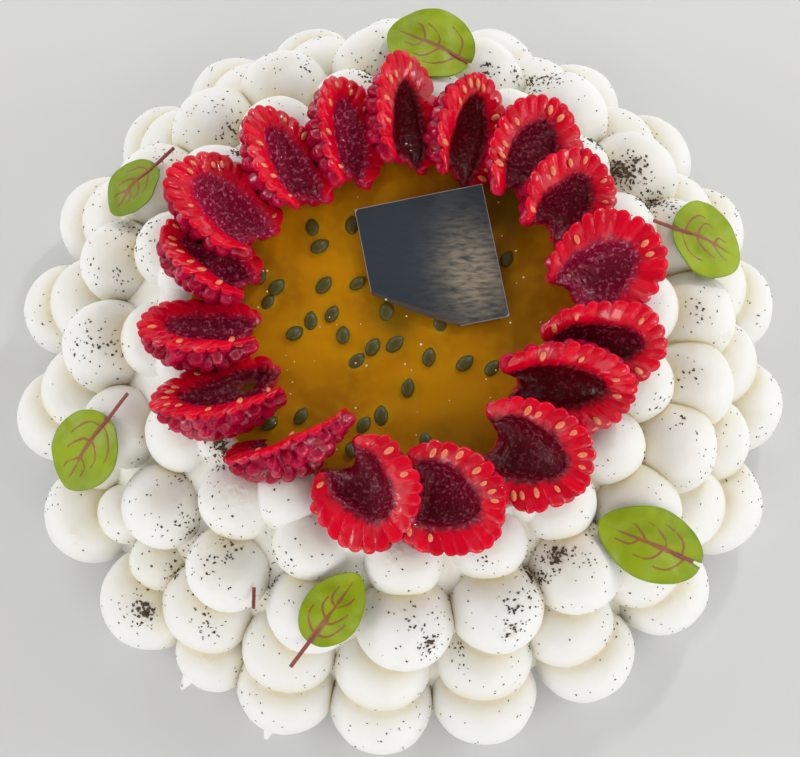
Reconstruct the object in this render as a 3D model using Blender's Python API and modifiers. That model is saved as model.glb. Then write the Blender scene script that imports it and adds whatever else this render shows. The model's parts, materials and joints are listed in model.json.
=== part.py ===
"""A round pavlova: a wall of piped cream dollops, a disc of passion fruit jelly, a ring of
halved raspberries, six small leaves, a stalk scrap and a bare dark card.

Sizes below are in millimetres and degrees, and turn into metres as the meshes are made.
Directions are counted anticlockwise from +X, seen from above. The front is -Y.
"""

import math
import random

import bmesh
import bpy
from mathutils import Matrix, Vector

MM = 0.001
GAP = 0.3  # air between pieces that touch
SEED = 7

# Cream wall, from the bottom row up: distance of the dollops from the middle, height of
# their centres, their radius, where the first one is, the turn from each to the next, and
# the few that are smaller than the rest of their row, as a share of its radius.
ROWS = (
    dict(
        distance=85.0, height=12.0, radius=12.4, first=12,
        turns=(14, 16, 16, 16, 17, 14, 15, 15, 17, 17, 19, 18, 18, 14, 13, 16, 17, 18, 17, 17, 18),
        small={14: 0.82},
    ),
    dict(
        distance=77.8, height=22.5, radius=11.6, first=14,
        turns=(15, 17, 18, 20, 20, 15, 16, 17, 17, 17, 13, 12, 11, 12, 16, 17, 18, 16, 17, 13, 13, 15),
        small={11: 0.8, 12: 0.66, 13: 0.7},
    ),
    dict(
        distance=70.5, height=38.5, radius=11.7, first=4,
        turns=(16, 16, 19, 19, 20, 20, 16, 17, 17, 18, 17, 18, 18, 18, 18, 18, 17, 16, 15, 13),
        small={9: 0.93, 11: 0.9, 12: 0.88, 13: 0.88, 14: 0.93},
    ),
    dict(
        distance=57.6, height=48.2, radius=9.7, first=4,
        turns=(20, 19, 20, 19, 20, 19, 20, 20, 23, 24, 21, 20, 22, 20, 19, 18, 17),
        small={},
    ),
)
UNEVENNESS = 0.03  # how far a dollop's radius strays from its row's
CREAM_FACES_KEPT = 0.78  # the seams between dollops hold many more faces than they need
FACET_ALLOWANCE = 1.02  # the few faces of a dollop lie inside the ball they stand for

# Cream core that the dollops are piped on, as distance and height of its profile.
CORE_PROFILE = ((0, 0), (80, 0), (83, 13), (76, 26), (69, 38), (61, 48), (54, 56), (0, 56))

JELLY_RADIUS = 50.0
JELLY_FLOOR = 56.0
JELLY_TOP = 60.0
JELLY_EDGE = 1.4  # rounding of the jelly's upper edge
DOLLOP_TOPS = 58.5  # no berry reaches lower than this outside the jelly

# Halved raspberries, clockwise from the back. Each lies with its closed tip outwards and
# its cut face up, and leans on the next one like a fallen domino.
BERRY_COLUMNS = ("at", "distance", "height", "heading", "length", "width", "lean")
BERRIES = (
    (87, 49.0, 66, 91, 26.6, 21.5, 45),
    (68, 48.0, 66, 76, 26.0, 21.5, 45),
    (49, 50.5, 68, 72, 25.0, 23.0, 27),
    (31, 48.6, 68, 54, 22.5, 23.0, 30),
    (9, 50.5, 69, 38, 26.0, 25.0, 18),
    (-14, 50.5, 67, 10, 27.0, 23.0, 35),
    (-29, 46.5, 67, 1, 29.0, 23.0, 40),
    (-51, 50.5, 69, -21, 25.7, 25.0, 18),
    (-76, 51.5, 69, -19, 23.5, 25.0, 15),
    (-98, 48.8, 68, -51, 23.0, 25.0, 20),
    (-131, 41.8, 64, -153, 27.8, 23.0, 58),
    (-153, 48.4, 66, -167, 28.5, 23.0, 42),
    (-173, 48.0, 66, 178, 26.7, 22.0, 38),
    (165, 46.8, 66, 145, 24.6, 21.5, 38),
    (149, 49.3, 68, 136, 27.5, 24.0, 27),
    (126, 46.0, 67, 118, 26.2, 22.0, 35),
    (105, 45.5, 66, 97, 26.0, 20.5, 42),
)
BERRY_WALL = 5.6
BERRY_WIDEST = 0.38  # how far along its length a berry is widest
BERRY_MOUTH = 0.74  # its width at the open end, as a share of the widest
HOLLOW_END = 0.74  # how far the hollow reaches along the length
HOLLOW_MOUTH = 0.86
ROUNDING = 2.4  # power of the tip's curve: 2 is an ellipse
DRUPELET_RELIEF = 0.45
BERRY_STATIONS = 6
BERRY_STEPS = 8  # faces round the half shell

# Leaves: where the stalk's end lies, which way the leaf points, the lengths of stalk and
# blade, the blade's width, and how steeply it lies on the wall, facing outwards.
LEAF_COLUMNS = ("at", "distance", "height", "heading", "stalk", "blade", "width", "slope")
LEAVES = (
    (75.5, 66.5, 52, 147, 1.5, 21.0, 20.0, 8),
    (141, 68.0, 48, -143, 7.0, 15.0, 14.0, 26),
    (196, 63.7, 46, -137, 8.5, 20.0, 18.5, 26),
    (252.8, 84.6, 40, 56, 8.5, 18.4, 14.0, 32),
    (-39.6, 89.5, 42, 158, 1.0, 24.0, 17.5, 28),
    (22, 61.6, 46, -6, 6.5, 19.7, 21.0, 26),
)
LEAF_THICKNESS = 0.6
STALK_WIDTH = 1.0
LEAF_CLEARANCE = 0.85  # from the leaf's middle surface to the cream
LEAF_DROP_FROM = 20.0
LEAF_STEP_DOWN = 0.1
LEAF_STATIONS = 7
LEAF_STEPS = 4
LEAF_FOLD = 0.10  # rise of each half of the blade away from the midrib
LEAF_WAVE = 0.7
LEAF_DROOP = 0.004  # drop of the tip, for each square millimetre along the leaf

SCRAP_AT, SCRAP_DISTANCE, SCRAP_HEIGHT = 242.8, 74.7, 56.0
SCRAP_HEADING, SCRAP_LENGTH, SCRAP_RADIUS = 268, 5.0, 0.35

CARD_CENTRE = (7.6, 11.0, 61.6)
CARD_SIZE = (31.0, 33.0, 0.6)
CARD_TURN = 11.0
CARD_TILT_BACK = 5.0  # its far edge is raised
CARD_TILT_SIDE = -3.2  # its right edge is raised


def clear_scene():
    for obj in list(bpy.data.objects):
        bpy.data.objects.remove(obj, do_unlink=True)


def new_collection(name):
    collection = bpy.data.collections.new(name)
    bpy.context.scene.collection.children.link(collection)
    return collection


def material(name, colour, roughness, coat=0.0, scatter=0.0):
    made = bpy.data.materials.new(name)
    made.use_nodes = True
    shader = made.node_tree.nodes["Principled BSDF"]
    shader.inputs["Base Color"].default_value = (*colour, 1.0)
    shader.inputs["Roughness"].default_value = roughness
    shader.inputs["Metallic"].default_value = 0.0
    shader.inputs["Coat Weight"].default_value = coat
    shader.inputs["Subsurface Weight"].default_value = scatter
    return made


def at(direction, distance, height):
    turn = math.radians(direction)
    return Vector((distance * math.cos(turn), distance * math.sin(turn), height))


def object_from(bm, name, collection):
    """An object in metres from a mesh whose points are in millimetres."""
    bmesh.ops.scale(bm, vec=(MM, MM, MM), verts=bm.verts)
    mesh = bpy.data.meshes.new(name)
    bm.to_mesh(mesh)
    bm.free()
    obj = bpy.data.objects.new(name, mesh)
    collection.objects.link(obj)
    return obj


def hidden(obj):
    obj.hide_render = True
    obj.display_type = "WIRE"
    return obj


def bake(obj):
    """Puts the result of the object's modifiers into its mesh, without any loose scrap."""
    bpy.context.view_layer.update()
    evaluated = obj.evaluated_get(bpy.context.evaluated_depsgraph_get())
    mesh = bpy.data.meshes.new_from_object(evaluated)
    obj.modifiers.clear()
    obj.data = mesh
    bm = bmesh.new()
    bm.from_mesh(mesh)
    islands = sorted(islands_of(bm), key=len)
    for scrap in islands[:-1]:
        bmesh.ops.delete(bm, geom=scrap, context="VERTS")
    bm.to_mesh(mesh)
    bm.free()


def islands_of(bm):
    unseen = set(bm.verts)
    while unseen:
        island = [unseen.pop()]
        for vert in island:
            for edge in vert.link_edges:
                other = edge.other_vert(vert)
                if other in unseen:
                    unseen.remove(other)
                    island.append(other)
        yield island


def boolean(obj, operation, other=None, group=None):
    modifier = obj.modifiers.new(operation.title(), "BOOLEAN")
    modifier.operation = operation
    modifier.solver = "MANIFOLD"
    if group:
        modifier.operand_type = "COLLECTION"
        modifier.collection = group
    else:
        modifier.object = other


def dollops():
    """Centre and radius of every dollop."""
    draw = random.Random(SEED)
    found = []
    for row in ROWS:
        direction = row["first"]
        for index in range(len(row["turns"]) + 1):
            stray = 1 + draw.uniform(-UNEVENNESS, UNEVENNESS)
            size = row["radius"] * row["small"].get(index, 1.0) * stray
            found.append((at(direction, row["distance"], row["height"]), size))
            if index < len(row["turns"]):
                direction += row["turns"][index]
    return found


def turned(profile, name, collection, steps):
    """A solid of revolution, with a corner of its profile on each point given."""
    bm = bmesh.new()
    points = [bm.verts.new((radius, 0, height)) for radius, height in profile]
    for one, other in zip(points, points[1:]):
        bm.edges.new((one, other))
    bmesh.ops.spin(
        bm, geom=bm.verts[:] + bm.edges[:], axis=(0, 0, 1), cent=(0, 0, 0),
        steps=steps, angle=math.tau, use_duplicate=False, use_merge=True,
    )
    bmesh.ops.remove_doubles(bm, verts=bm.verts, dist=0.01)
    bmesh.ops.recalc_face_normals(bm, faces=bm.faces)
    return object_from(bm, name, collection)


def cream(parts, cutters):
    core = turned(CORE_PROFILE, "cream", parts, 32)
    group = new_collection("dollops")
    draw = random.Random(SEED + 1)
    for centre, radius in dollops():
        bm = bmesh.new()
        if centre.z < ROWS[1]["height"]:
            bmesh.ops.create_uvsphere(bm, u_segments=11, v_segments=7, radius=radius * FACET_ALLOWANCE)
        else:
            bmesh.ops.create_icosphere(bm, subdivisions=2, radius=radius * FACET_ALLOWANCE)
        lean = Matrix.Rotation(draw.uniform(0.1, 0.4), 4, "X")
        spin = Matrix.Rotation(draw.uniform(0, math.tau), 4, "Z")
        bmesh.ops.transform(bm, matrix=Matrix.Translation(centre) @ spin @ lean, verts=bm.verts)
        object_from(bm, "dollop", group)
    boolean(core, "UNION", group=group)
    floor = bmesh.new()
    bmesh.ops.create_cube(floor, size=1.0)
    bmesh.ops.scale(floor, vec=(300, 300, 20), verts=floor.verts)
    bmesh.ops.translate(floor, vec=(0, 0, -10), verts=floor.verts)
    boolean(core, "DIFFERENCE", other=hidden(object_from(floor, "cut_floor", cutters)))
    bake(core)
    fewer = core.modifiers.new("Fewer", "DECIMATE")
    fewer.ratio = CREAM_FACES_KEPT
    bake(core)
    for obj in list(group.objects):
        bpy.data.objects.remove(obj, do_unlink=True)
    bpy.data.collections.remove(group)
    return core


def jelly(parts):
    floor = JELLY_FLOOR + GAP
    arc = [
        (
            JELLY_RADIUS - JELLY_EDGE * (1 - math.cos(turn)),
            JELLY_TOP - JELLY_EDGE * (1 - math.sin(turn)),
        )
        for turn in (0, math.radians(90))
    ]
    return turned([(0, floor), (JELLY_RADIUS, floor), *arc, (0, JELLY_TOP)], "jelly", parts, 36)


def berry_width(along):
    """Half the width of a berry, as a share of its widest, at a share of its length."""
    if along < BERRY_WIDEST:
        opening = math.sin(math.pi / 2 * along / BERRY_WIDEST)
        return BERRY_MOUTH + (1 - BERRY_MOUTH) * opening
    past = (along - BERRY_WIDEST) / (1 - BERRY_WIDEST)
    return math.sqrt(max(0.0, 1 - past**ROUNDING))


def hollow_width(along):
    mouth = HOLLOW_MOUTH + (1 - HOLLOW_MOUTH) * min(1.0, along / 0.3)
    return mouth * math.sqrt(max(0.0, 1 - (along / HOLLOW_END) ** ROUNDING))


def berry_axes(berry):
    """Which way the tip, the raised side and the cut face of a berry look."""
    heading, lean = math.radians(berry["heading"]), math.radians(berry["lean"])
    tip = Vector((math.cos(heading), math.sin(heading), 0))
    clockwise = Vector((math.sin(heading), -math.cos(heading), 0))
    face = math.cos(lean) * Vector((0, 0, 1)) + math.sin(lean) * clockwise
    return tip, face.cross(tip), face


def eased(share):
    """Stations closer together near the tip, where the outline turns fast."""
    return math.sin(math.pi / 2 * share)


def shell_grid(berry, ends, widths, radius, relief):
    """Rows of points on a half shell, from its open end to its closed one."""
    tip, side, face = berry_axes(berry)
    centre = at(berry["at"], berry["distance"], berry["height"])
    rows = []
    for station in range(BERRY_STATIONS + 1):
        along = ends * eased(station / BERRY_STATIONS)
        row = []
        for step in range(BERRY_STEPS + 1):
            turn = math.pi * step / BERRY_STEPS
            bump = relief * (-1) ** (station + step) * (station < BERRY_STATIONS)
            reach = radius * widths(along) + bump
            row.append(
                centre
                + tip * berry["length"] * (along - 0.5)
                + side * reach * math.cos(turn)
                - face * reach * math.sin(turn)
            )
        rows.append(row)
    return rows


def berry_mesh(berry):
    """A halved hollow raspberry: outer and inner half shells, joined round the cut face."""
    bm = bmesh.new()
    outer = shell_grid(berry, 1.0, berry_width, berry["width"] / 2, DRUPELET_RELIEF)
    inner = shell_grid(berry, HOLLOW_END, hollow_width, berry["width"] / 2 - BERRY_WALL, 0.0)
    skins = []
    for grid in (outer, inner):
        rows = [[bm.verts.new(point) for point in row] for row in grid[:-1]]
        end = bm.verts.new(grid[-1][0])
        rows.append([end] * (BERRY_STEPS + 1))
        skins.append(rows)
    outside, inside = skins
    for station in range(BERRY_STATIONS):
        for step in range(BERRY_STEPS):
            for rows in skins:
                face_of(bm, rows[station][step], rows[station][step + 1],
                        rows[station + 1][step + 1], rows[station + 1][step])
        for step in (0, BERRY_STEPS):
            face_of(bm, outside[station][step], outside[station + 1][step],
                    inside[station + 1][step], inside[station][step])
    for step in range(BERRY_STEPS):
        face_of(bm, outside[0][step], outside[0][step + 1],
                inside[0][step + 1], inside[0][step])
    bmesh.ops.recalc_face_normals(bm, faces=bm.faces)
    return bm


def face_of(bm, *corners):
    """A face from its corners, leaving out a corner that repeats."""
    kept = []
    for corner in corners:
        if corner not in kept:
            kept.append(corner)
    bm.faces.new(kept)


def berry_bulk(berry):
    """The same half berry without its hollow and a gap larger, to press into a neighbour."""
    wider = dict(berry, width=berry["width"] + 2 * (GAP + DRUPELET_RELIEF), length=berry["length"] + 2 * GAP)
    bm = bmesh.new()
    rows = shell_grid(wider, 1.0, berry_width, wider["width"] / 2, 0.0)
    for row in rows:
        for point in row:
            bm.verts.new(point)
    bmesh.ops.remove_doubles(bm, verts=bm.verts, dist=0.01)
    bmesh.ops.convex_hull(bm, input=bm.verts)
    loose = [vert for vert in bm.verts if not vert.link_faces]
    bmesh.ops.delete(bm, geom=loose, context="VERTS")
    _, _, face = berry_axes(berry)
    bmesh.ops.recalc_face_normals(bm, faces=bm.faces)
    for vert in bm.verts:
        offset = vert.co - at(berry["at"], berry["distance"], berry["height"])
        if offset.dot(face) > -0.01:
            vert.co += face * GAP
    return bm


def seat(cutters):
    """What lies under the berries: the jelly's top, and the level of the dollops' tops."""
    jelly_top, dollop_tops = JELLY_TOP + GAP, DOLLOP_TOPS
    edge = JELLY_RADIUS + GAP
    profile = ((0, 40), (140, 40), (140, dollop_tops), (edge, dollop_tops), (edge, jelly_top), (0, jelly_top))
    return hidden(turned(profile, "cut_seat", cutters, 36))


def raspberries(parts, cutters, seat_cutter):
    berries = [dict(zip(BERRY_COLUMNS, row)) for row in BERRIES]
    made = []
    for index, berry in enumerate(berries):
        upper = berries[(index + 1) % len(berries)]
        bulk = hidden(object_from(berry_bulk(upper), f"cut_neighbour_{index + 1:02d}", cutters))
        obj = object_from(berry_mesh(berry), f"raspberry_{index + 1:02d}", parts)
        boolean(obj, "DIFFERENCE", other=bulk)
        boolean(obj, "DIFFERENCE", other=seat_cutter)
        bake(obj)
        made.append(obj)
    return made


def blade_width(along):
    """Half the width of a blade, as a share of its widest, from its base to its tip."""
    return math.sin(math.pi * along**0.82) ** 0.55 if 0 < along < 1 else 0.0


def leaf_axes(leaf):
    """Directions along and across a leaf and out of its face, before it is set down."""
    start = at(leaf["at"], leaf["distance"], 0)
    heading = math.radians(leaf["heading"])
    along = Vector((math.cos(heading), math.sin(heading), 0))
    middle = start + along * (leaf["stalk"] + leaf["blade"] / 2)
    outwards = Vector((middle.x, middle.y, 0)).normalized()
    slope = math.radians(leaf["slope"])
    normal = math.cos(slope) * Vector((0, 0, 1)) + math.sin(slope) * outwards
    along = (along - normal * along.dot(normal)).normalized()
    return along, normal.cross(along), normal


def leaf_rows(leaf):
    """Rows of points across a leaf, from the end of its stalk to its tip."""
    along, across, normal = leaf_axes(leaf)
    start = at(leaf["at"], leaf["distance"], leaf["height"])
    places = [(0.0, STALK_WIDTH / 2), (leaf["stalk"], STALK_WIDTH / 2)]
    for station in range(1, LEAF_STATIONS + 1):
        share = station / (LEAF_STATIONS + 0.4)
        half = leaf["width"] / 2 * blade_width(share)
        places.append((leaf["stalk"] + leaf["blade"] * share, max(half, STALK_WIDTH / 2)))
    rows = []
    for place, half in places:
        row = []
        for step in range(LEAF_STEPS + 1):
            side = half * (2 * step / LEAF_STEPS - 1)
            blade = max(0.0, place - leaf["stalk"]) / leaf["blade"]
            wave = LEAF_WAVE * math.sin(5 * blade + side / 4) * min(1, 3 * blade)
            rise = LEAF_FOLD * abs(side) + wave - LEAF_DROOP * place**2
            row.append(start + along * place + across * side + normal * rise)
        rows.append(row)
    return rows


def clearance(points, balls):
    return min((point - centre).length - radius for point in points for centre, radius in balls)


def set_down(rows, normal, balls):
    """Lowers the points along their normal, from well above, until they all but touch the cream."""
    points = [point for row in rows for point in row]
    for point in points:
        point += normal * LEAF_DROP_FROM
    for _ in range(int(2 * LEAF_DROP_FROM / LEAF_STEP_DOWN)):
        if clearance(points, balls) < LEAF_CLEARANCE:
            break
        for point in points:
            point -= normal * LEAF_STEP_DOWN


def leaves(parts, balls):
    made = []
    for index, row in enumerate(LEAVES):
        leaf = dict(zip(LEAF_COLUMNS, row))
        rows = leaf_rows(leaf)
        set_down(rows, leaf_axes(leaf)[2], balls)
        bm = bmesh.new()
        verts = [[bm.verts.new(point) for point in row] for row in rows]
        for lower, upper in zip(verts, verts[1:]):
            for step in range(LEAF_STEPS):
                first, second, third, fourth = lower[step], lower[step + 1], upper[step + 1], upper[step]
                bm.faces.new((first, second, third))
                bm.faces.new((first, third, fourth))
        obj = object_from(bm, f"leaf_{index + 1}", parts)
        thickness = obj.modifiers.new("Thickness", "SOLIDIFY")
        thickness.thickness = LEAF_THICKNESS * MM
        thickness.offset = 0.0
        made.append(obj)
    return made


def stalk_scrap(parts, balls):
    heading = math.radians(SCRAP_HEADING)
    along = Vector((math.cos(heading), math.sin(heading), -0.35)).normalized()
    start = at(SCRAP_AT, SCRAP_DISTANCE, SCRAP_HEIGHT) - along * SCRAP_LENGTH / 2
    row = [start + along * SCRAP_LENGTH * share for share in (0.0, 0.5, 1.0)]
    set_down([row], Vector((0, 0, 1)), balls)
    curve = bpy.data.curves.new("stalk_scrap", "CURVE")
    curve.dimensions = "3D"
    curve.bevel_depth = SCRAP_RADIUS * MM
    curve.bevel_resolution = 1
    curve.use_fill_caps = True
    line = curve.splines.new("POLY")
    line.points.add(len(row) - 1)
    for point, place in zip(line.points, row):
        point.co = (*(place * MM), 1.0)
    obj = bpy.data.objects.new("stalk_scrap", curve)
    parts.objects.link(obj)
    return obj


def card(parts, seat_cutter):
    bm = bmesh.new()
    bmesh.ops.create_cube(bm, size=1.0)
    bmesh.ops.scale(bm, vec=CARD_SIZE, verts=bm.verts)
    turn = Matrix.Rotation(math.radians(CARD_TURN), 4, "Z")
    back = Matrix.Rotation(math.radians(CARD_TILT_BACK), 4, "X")
    side = Matrix.Rotation(math.radians(CARD_TILT_SIDE), 4, "Y")
    bmesh.ops.transform(bm, matrix=Matrix.Translation(CARD_CENTRE) @ turn @ back @ side, verts=bm.verts)
    obj = object_from(bm, "card", parts)
    boolean(obj, "DIFFERENCE", other=seat_cutter)
    bake(obj)
    return obj


def finish(objects, made):
    for obj in objects:
        obj.data.materials.clear()
        obj.data.materials.append(made)
        if obj.type == "MESH":
            obj.data.shade_smooth()
            obj.data.set_sharp_from_angle(angle=math.radians(40))


def main():
    clear_scene()
    parts = new_collection("pavlova")
    cutters = new_collection("cutters")
    balls = dollops()
    seat_cutter = seat(cutters)
    finish([cream(parts, cutters)], material("cream", (0.84, 0.81, 0.72), 0.45, scatter=0.1))
    finish([jelly(parts)], material("jelly", (0.42, 0.16, 0.004), 0.08, coat=0.5))
    finish(
        raspberries(parts, cutters, seat_cutter),
        material("raspberry", (0.50, 0.006, 0.02), 0.25, coat=0.4),
    )
    finish(leaves(parts, balls), material("leaf", (0.16, 0.30, 0.02), 0.4))
    finish([stalk_scrap(parts, balls)], material("stalk", (0.16, 0.012, 0.02), 0.4))
    finish([card(parts, seat_cutter)], material("card", (0.012, 0.015, 0.018), 0.3))


main()
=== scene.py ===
"""A round pavlova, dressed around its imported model: piped cream, passion fruit jelly, halved
raspberries, small red-veined leaves, dark specks and a bare dark card.

Sizes below are in millimetres and degrees, and turn into metres as the meshes are made.
Directions are counted anticlockwise from +X, seen from above. The front is -Y.
"""

import json
import math
import random

import bmesh
import bpy
import numpy as np
from mathutils import Matrix, Vector, noise
from mathutils.bvhtree import BVHTree

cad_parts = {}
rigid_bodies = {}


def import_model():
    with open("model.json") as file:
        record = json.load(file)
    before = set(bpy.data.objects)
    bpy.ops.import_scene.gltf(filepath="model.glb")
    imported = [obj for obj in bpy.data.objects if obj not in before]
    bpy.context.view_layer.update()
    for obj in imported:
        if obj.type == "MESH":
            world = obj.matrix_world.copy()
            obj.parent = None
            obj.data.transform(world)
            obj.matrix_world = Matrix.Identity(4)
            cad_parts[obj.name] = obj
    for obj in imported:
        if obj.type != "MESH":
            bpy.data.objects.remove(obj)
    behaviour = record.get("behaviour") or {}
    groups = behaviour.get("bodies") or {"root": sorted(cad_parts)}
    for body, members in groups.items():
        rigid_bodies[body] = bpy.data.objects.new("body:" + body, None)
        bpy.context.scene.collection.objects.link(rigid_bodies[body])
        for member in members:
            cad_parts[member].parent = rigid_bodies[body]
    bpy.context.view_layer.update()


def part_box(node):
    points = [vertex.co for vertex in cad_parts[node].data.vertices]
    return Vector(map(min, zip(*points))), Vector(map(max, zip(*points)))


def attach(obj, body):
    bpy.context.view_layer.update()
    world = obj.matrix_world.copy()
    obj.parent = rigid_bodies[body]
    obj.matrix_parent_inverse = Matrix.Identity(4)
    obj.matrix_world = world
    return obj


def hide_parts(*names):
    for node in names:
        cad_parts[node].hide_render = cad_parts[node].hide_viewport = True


MM = 0.001
WELD = 0.01 * MM  # points closer together than this are made one
SEED = 7  # the dollops' sizes follow this draw, as in the model

# The photograph's frame and where it was taken from.
PHOTO_WIDTH, PHOTO_HEIGHT = 800, 757
CAMERA_TARGET = Vector((0.1, -7.7, 30.0))
CAMERA_DISTANCE = 651.0
CAMERA_ELEVATION = 72.0
FOCAL_PIXELS = 2644.0
SENSOR_WIDTH = 36.0

# Cream wall: its dollops and its core are the model's.
ROWS = (
    dict(
        distance=85.0, height=12.0, radius=12.4, first=12,
        turns=(14, 16, 16, 16, 17, 14, 15, 15, 17, 17, 19, 18, 18, 14, 13, 16, 17, 18, 17, 17, 18),
        small={14: 0.82},
    ),
    dict(
        distance=77.8, height=22.5, radius=11.6, first=14,
        turns=(15, 17, 18, 20, 20, 15, 16, 17, 17, 17, 13, 12, 11, 12, 16, 17, 18, 16, 17, 13, 13, 15),
        small={11: 0.8, 12: 0.66, 13: 0.7},
    ),
    dict(
        distance=70.5, height=38.5, radius=11.7, first=4,
        turns=(16, 16, 19, 19, 20, 20, 16, 17, 17, 18, 17, 18, 18, 18, 18, 18, 17, 16, 15, 13),
        small={9: 0.93, 11: 0.9, 12: 0.88, 13: 0.88, 14: 0.93},
    ),
    dict(
        distance=57.6, height=48.2, radius=9.7, first=4,
        turns=(20, 19, 20, 19, 20, 19, 20, 20, 23, 24, 21, 20, 22, 20, 19, 18, 17),
        small={},
    ),
)
UNEVENNESS = 0.03
CORE_PROFILE = ((0, 0), (80, 0), (83, 13), (76, 26), (69, 38), (61, 48), (54, 56), (0, 56))
DOLLOP_WOBBLE = 0.034  # how far the cream strays from a ball, as a share of its radius
DOLLOP_DIMPLES = 0.08  # depth of the small unevenness of the cream
CREASE_SHADE_WIDTH = 2.1  # over which the painted shade of a crease between dollops fades
# Small lumps of cream between the jelly's edge and the first row, and the one that fills a wider gap
# there, by its pixel and height.
FILLER_COUNT, FILLER_DISTANCE, FILLER_HEIGHT, FILLER_RADIUS = 20, 51.5, 51.3, 7.5
GAP_FILLER = (290, 494, 52.0)
# Where the piping bag was pulled off: direction, distance, height and radius.
NUBS = ((250.5, 96.0, 6.0, 1.5), (236.5, 95.0, 9.0, 1.3))
CREAM_TRIANGLES = 190000

# Jelly: its clear top, and the cloudy pulp inside it.
JELLY_RADIUS = 50.0
JELLY_FLOOR = 56.3
JELLY_TOP = 60.0
JELLY_EDGE = 1.2  # rounding of its upper edge
PULP_TOP = 58.3
PULP_RADIUS = 49.5
BUBBLE_COUNT, BUBBLE_REACH = 120, 48  # how many pale bubbles, painted highlights on the jelly, and how far out they lie

# Halved raspberries: their places, sizes and leans are the model's.
BERRY_COLUMNS = ("at", "distance", "height", "heading", "length", "width", "lean")
BERRIES = (
    (87, 49.0, 66, 91, 26.6, 21.5, 45),
    (68, 48.0, 66, 76, 26.0, 21.5, 45),
    (49, 50.5, 68, 72, 25.0, 23.0, 27),
    (31, 48.6, 68, 54, 22.5, 23.0, 30),
    (9, 50.5, 69, 38, 26.0, 25.0, 18),
    (-14, 50.5, 67, 10, 27.0, 23.0, 35),
    (-29, 46.5, 67, 1, 29.0, 23.0, 40),
    (-51, 50.5, 69, -21, 25.7, 25.0, 18),
    (-76, 51.5, 69, -19, 23.5, 25.0, 15),
    (-98, 48.8, 68, -51, 23.0, 25.0, 20),
    (-131, 41.8, 64, -153, 27.8, 23.0, 58),
    (-153, 48.4, 66, -167, 28.5, 23.0, 42),
    (-173, 48.0, 66, 178, 26.7, 22.0, 38),
    (165, 46.8, 66, 145, 24.6, 21.5, 38),
    (149, 49.3, 68, 136, 27.5, 24.0, 27),
    (126, 46.0, 67, 118, 26.2, 22.0, 35),
    (105, 45.5, 66, 97, 26.0, 20.5, 42),
)
# How fuzzy and pink each hollow is, from smooth and dark, where the dark is painted shade of its depth, to
# downy.
FUZZY_HOLLOWS = (0.0, 0.0, 0.2, 0.2, 0.7, 0.15, 0.0, 0.1, 0.3, 0.3, 0.4, 0.3, 0.6, 0.8, 1.0, 0.8, 0.9)
BERRY_WALL = 5.6  # from the skin to the hollow, where the berry is widest
BERRY_WIDEST, HOLLOW_WIDEST = 0.38, 0.32  # how far along the berry, as a share of its length
BERRY_MOUTH, HOLLOW_MOUTH = 0.68, 0.62  # width at the open end, as a share of the widest
MOUTH_ROUNDING = 2.3
ROUNDING = 2.4  # how bluntly the berry and its hollow end
HOLLOW_END = 0.74  # where the hollow ends, as a share of the berry's length
LIP_BACK = 3.6  # how far the lip between the arms lies behind their ends
DEEP_LIPS = {10: 6.2}  # of the berry at that place, which is almost a ring
SEAT, DEEP_SEAT = 59.72, 60.5  # where the jelly cuts off the berries, and the one with the deep lip
DOLLOP_TOPS = 57.6  # no berry reaches lower than this outside the jelly
ARM_TOP = 1.1  # how much the arms' ends are rounded off at the cut
ARM_AHEAD = 0.7  # how much further the raised arm reaches than the lower one
MOUTH_SHARE, DEEP_MOUTH_SHARE = 0.42, 0.85  # share of the length that lip and arms shape
DRUPELET_PITCH = 3.35  # from one drupelet's middle to the next
DRUPELET_REACH = 1.98  # radius of a drupelet
DRUPELET_RELIEF = 1.9  # height of its dome
DRUPELET_SINK = 0.72  # share of the relief by which a drupelet's edge lies below the smooth shell
HOLLOW_FUZZ = 0.38  # height of the hollow's fuzz
HOLLOW_EDGE = 1.3  # how far the cut dips where it meets the hollow
BERRY_WARP = 0.7  # how far a berry departs from an even shape
CUT_BULGE = 0.5  # how far the juicy cells stand out of the cut
CUT_WAVES = 0.5  # unevenness of the cut as a whole
ARM_END = 1.9  # rounding of the ends of a berry's two arms
BERRY_STATIONS = 110  # from the mouth to the tip
BERRY_STEPS = 52  # round the half shell
BERRY_DEPTHS = 13  # through the wall
SEEDED_CELLS = 0.42  # share of the cut cells that show a seed
SEED_LENGTH, SEED_WIDTH, SEED_THICKNESS = 2.6, 1.4, 0.8

# Leaves: their places and sizes are the model's.
LEAF_COLUMNS = ("at", "distance", "height", "heading", "stalk", "blade", "width", "slope")
LEAVES = (
    (75.5, 66.5, 52, 147, 1.5, 21.0, 20.0, 8),
    (141, 68.0, 48, -143, 7.0, 15.0, 14.0, 26),
    (196, 63.7, 46, -137, 8.5, 20.0, 18.5, 26),
    (252.8, 84.6, 40, 56, 8.5, 18.4, 14.0, 32),
    (-39.6, 89.5, 42, 158, 1.0, 24.0, 17.5, 28),
    (22, 61.6, 46, -6, 6.5, 19.7, 21.0, 26),
)
LEAF_SHADES = (0.12, 0.42, 0.18, 0.05, 0.2, 0.1)  # how much darker than the palest
LEAF_THICKNESS = 0.32
LEAF_PUFF = 0.3  # height of the swells between the veins
LEAF_LOBES = (2.2, 1.0, 0.8, 1.0, 3.4, 1.2)  # how far each blade reaches back beside its stalk
STALK_RADIUS = 0.5
LEAF_CLEARANCE = 0.85  # gap at which a leaf that is let down onto the cream stops
LEAF_DROP_FROM, LEAF_STEP_DOWN = 20.0, 0.1  # where it starts above its place, and its steps down
LEAF_FOLD = 0.10  # rise of the blade's sides from the midrib
LEAF_WAVE = 0.7  # height of the blade's waves
LEAF_DROOP = 0.004  # fall of the blade towards its tip
LEAF_STATIONS, LEAF_STEPS = 84, 68  # from stalk to tip, and from side to side
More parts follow.
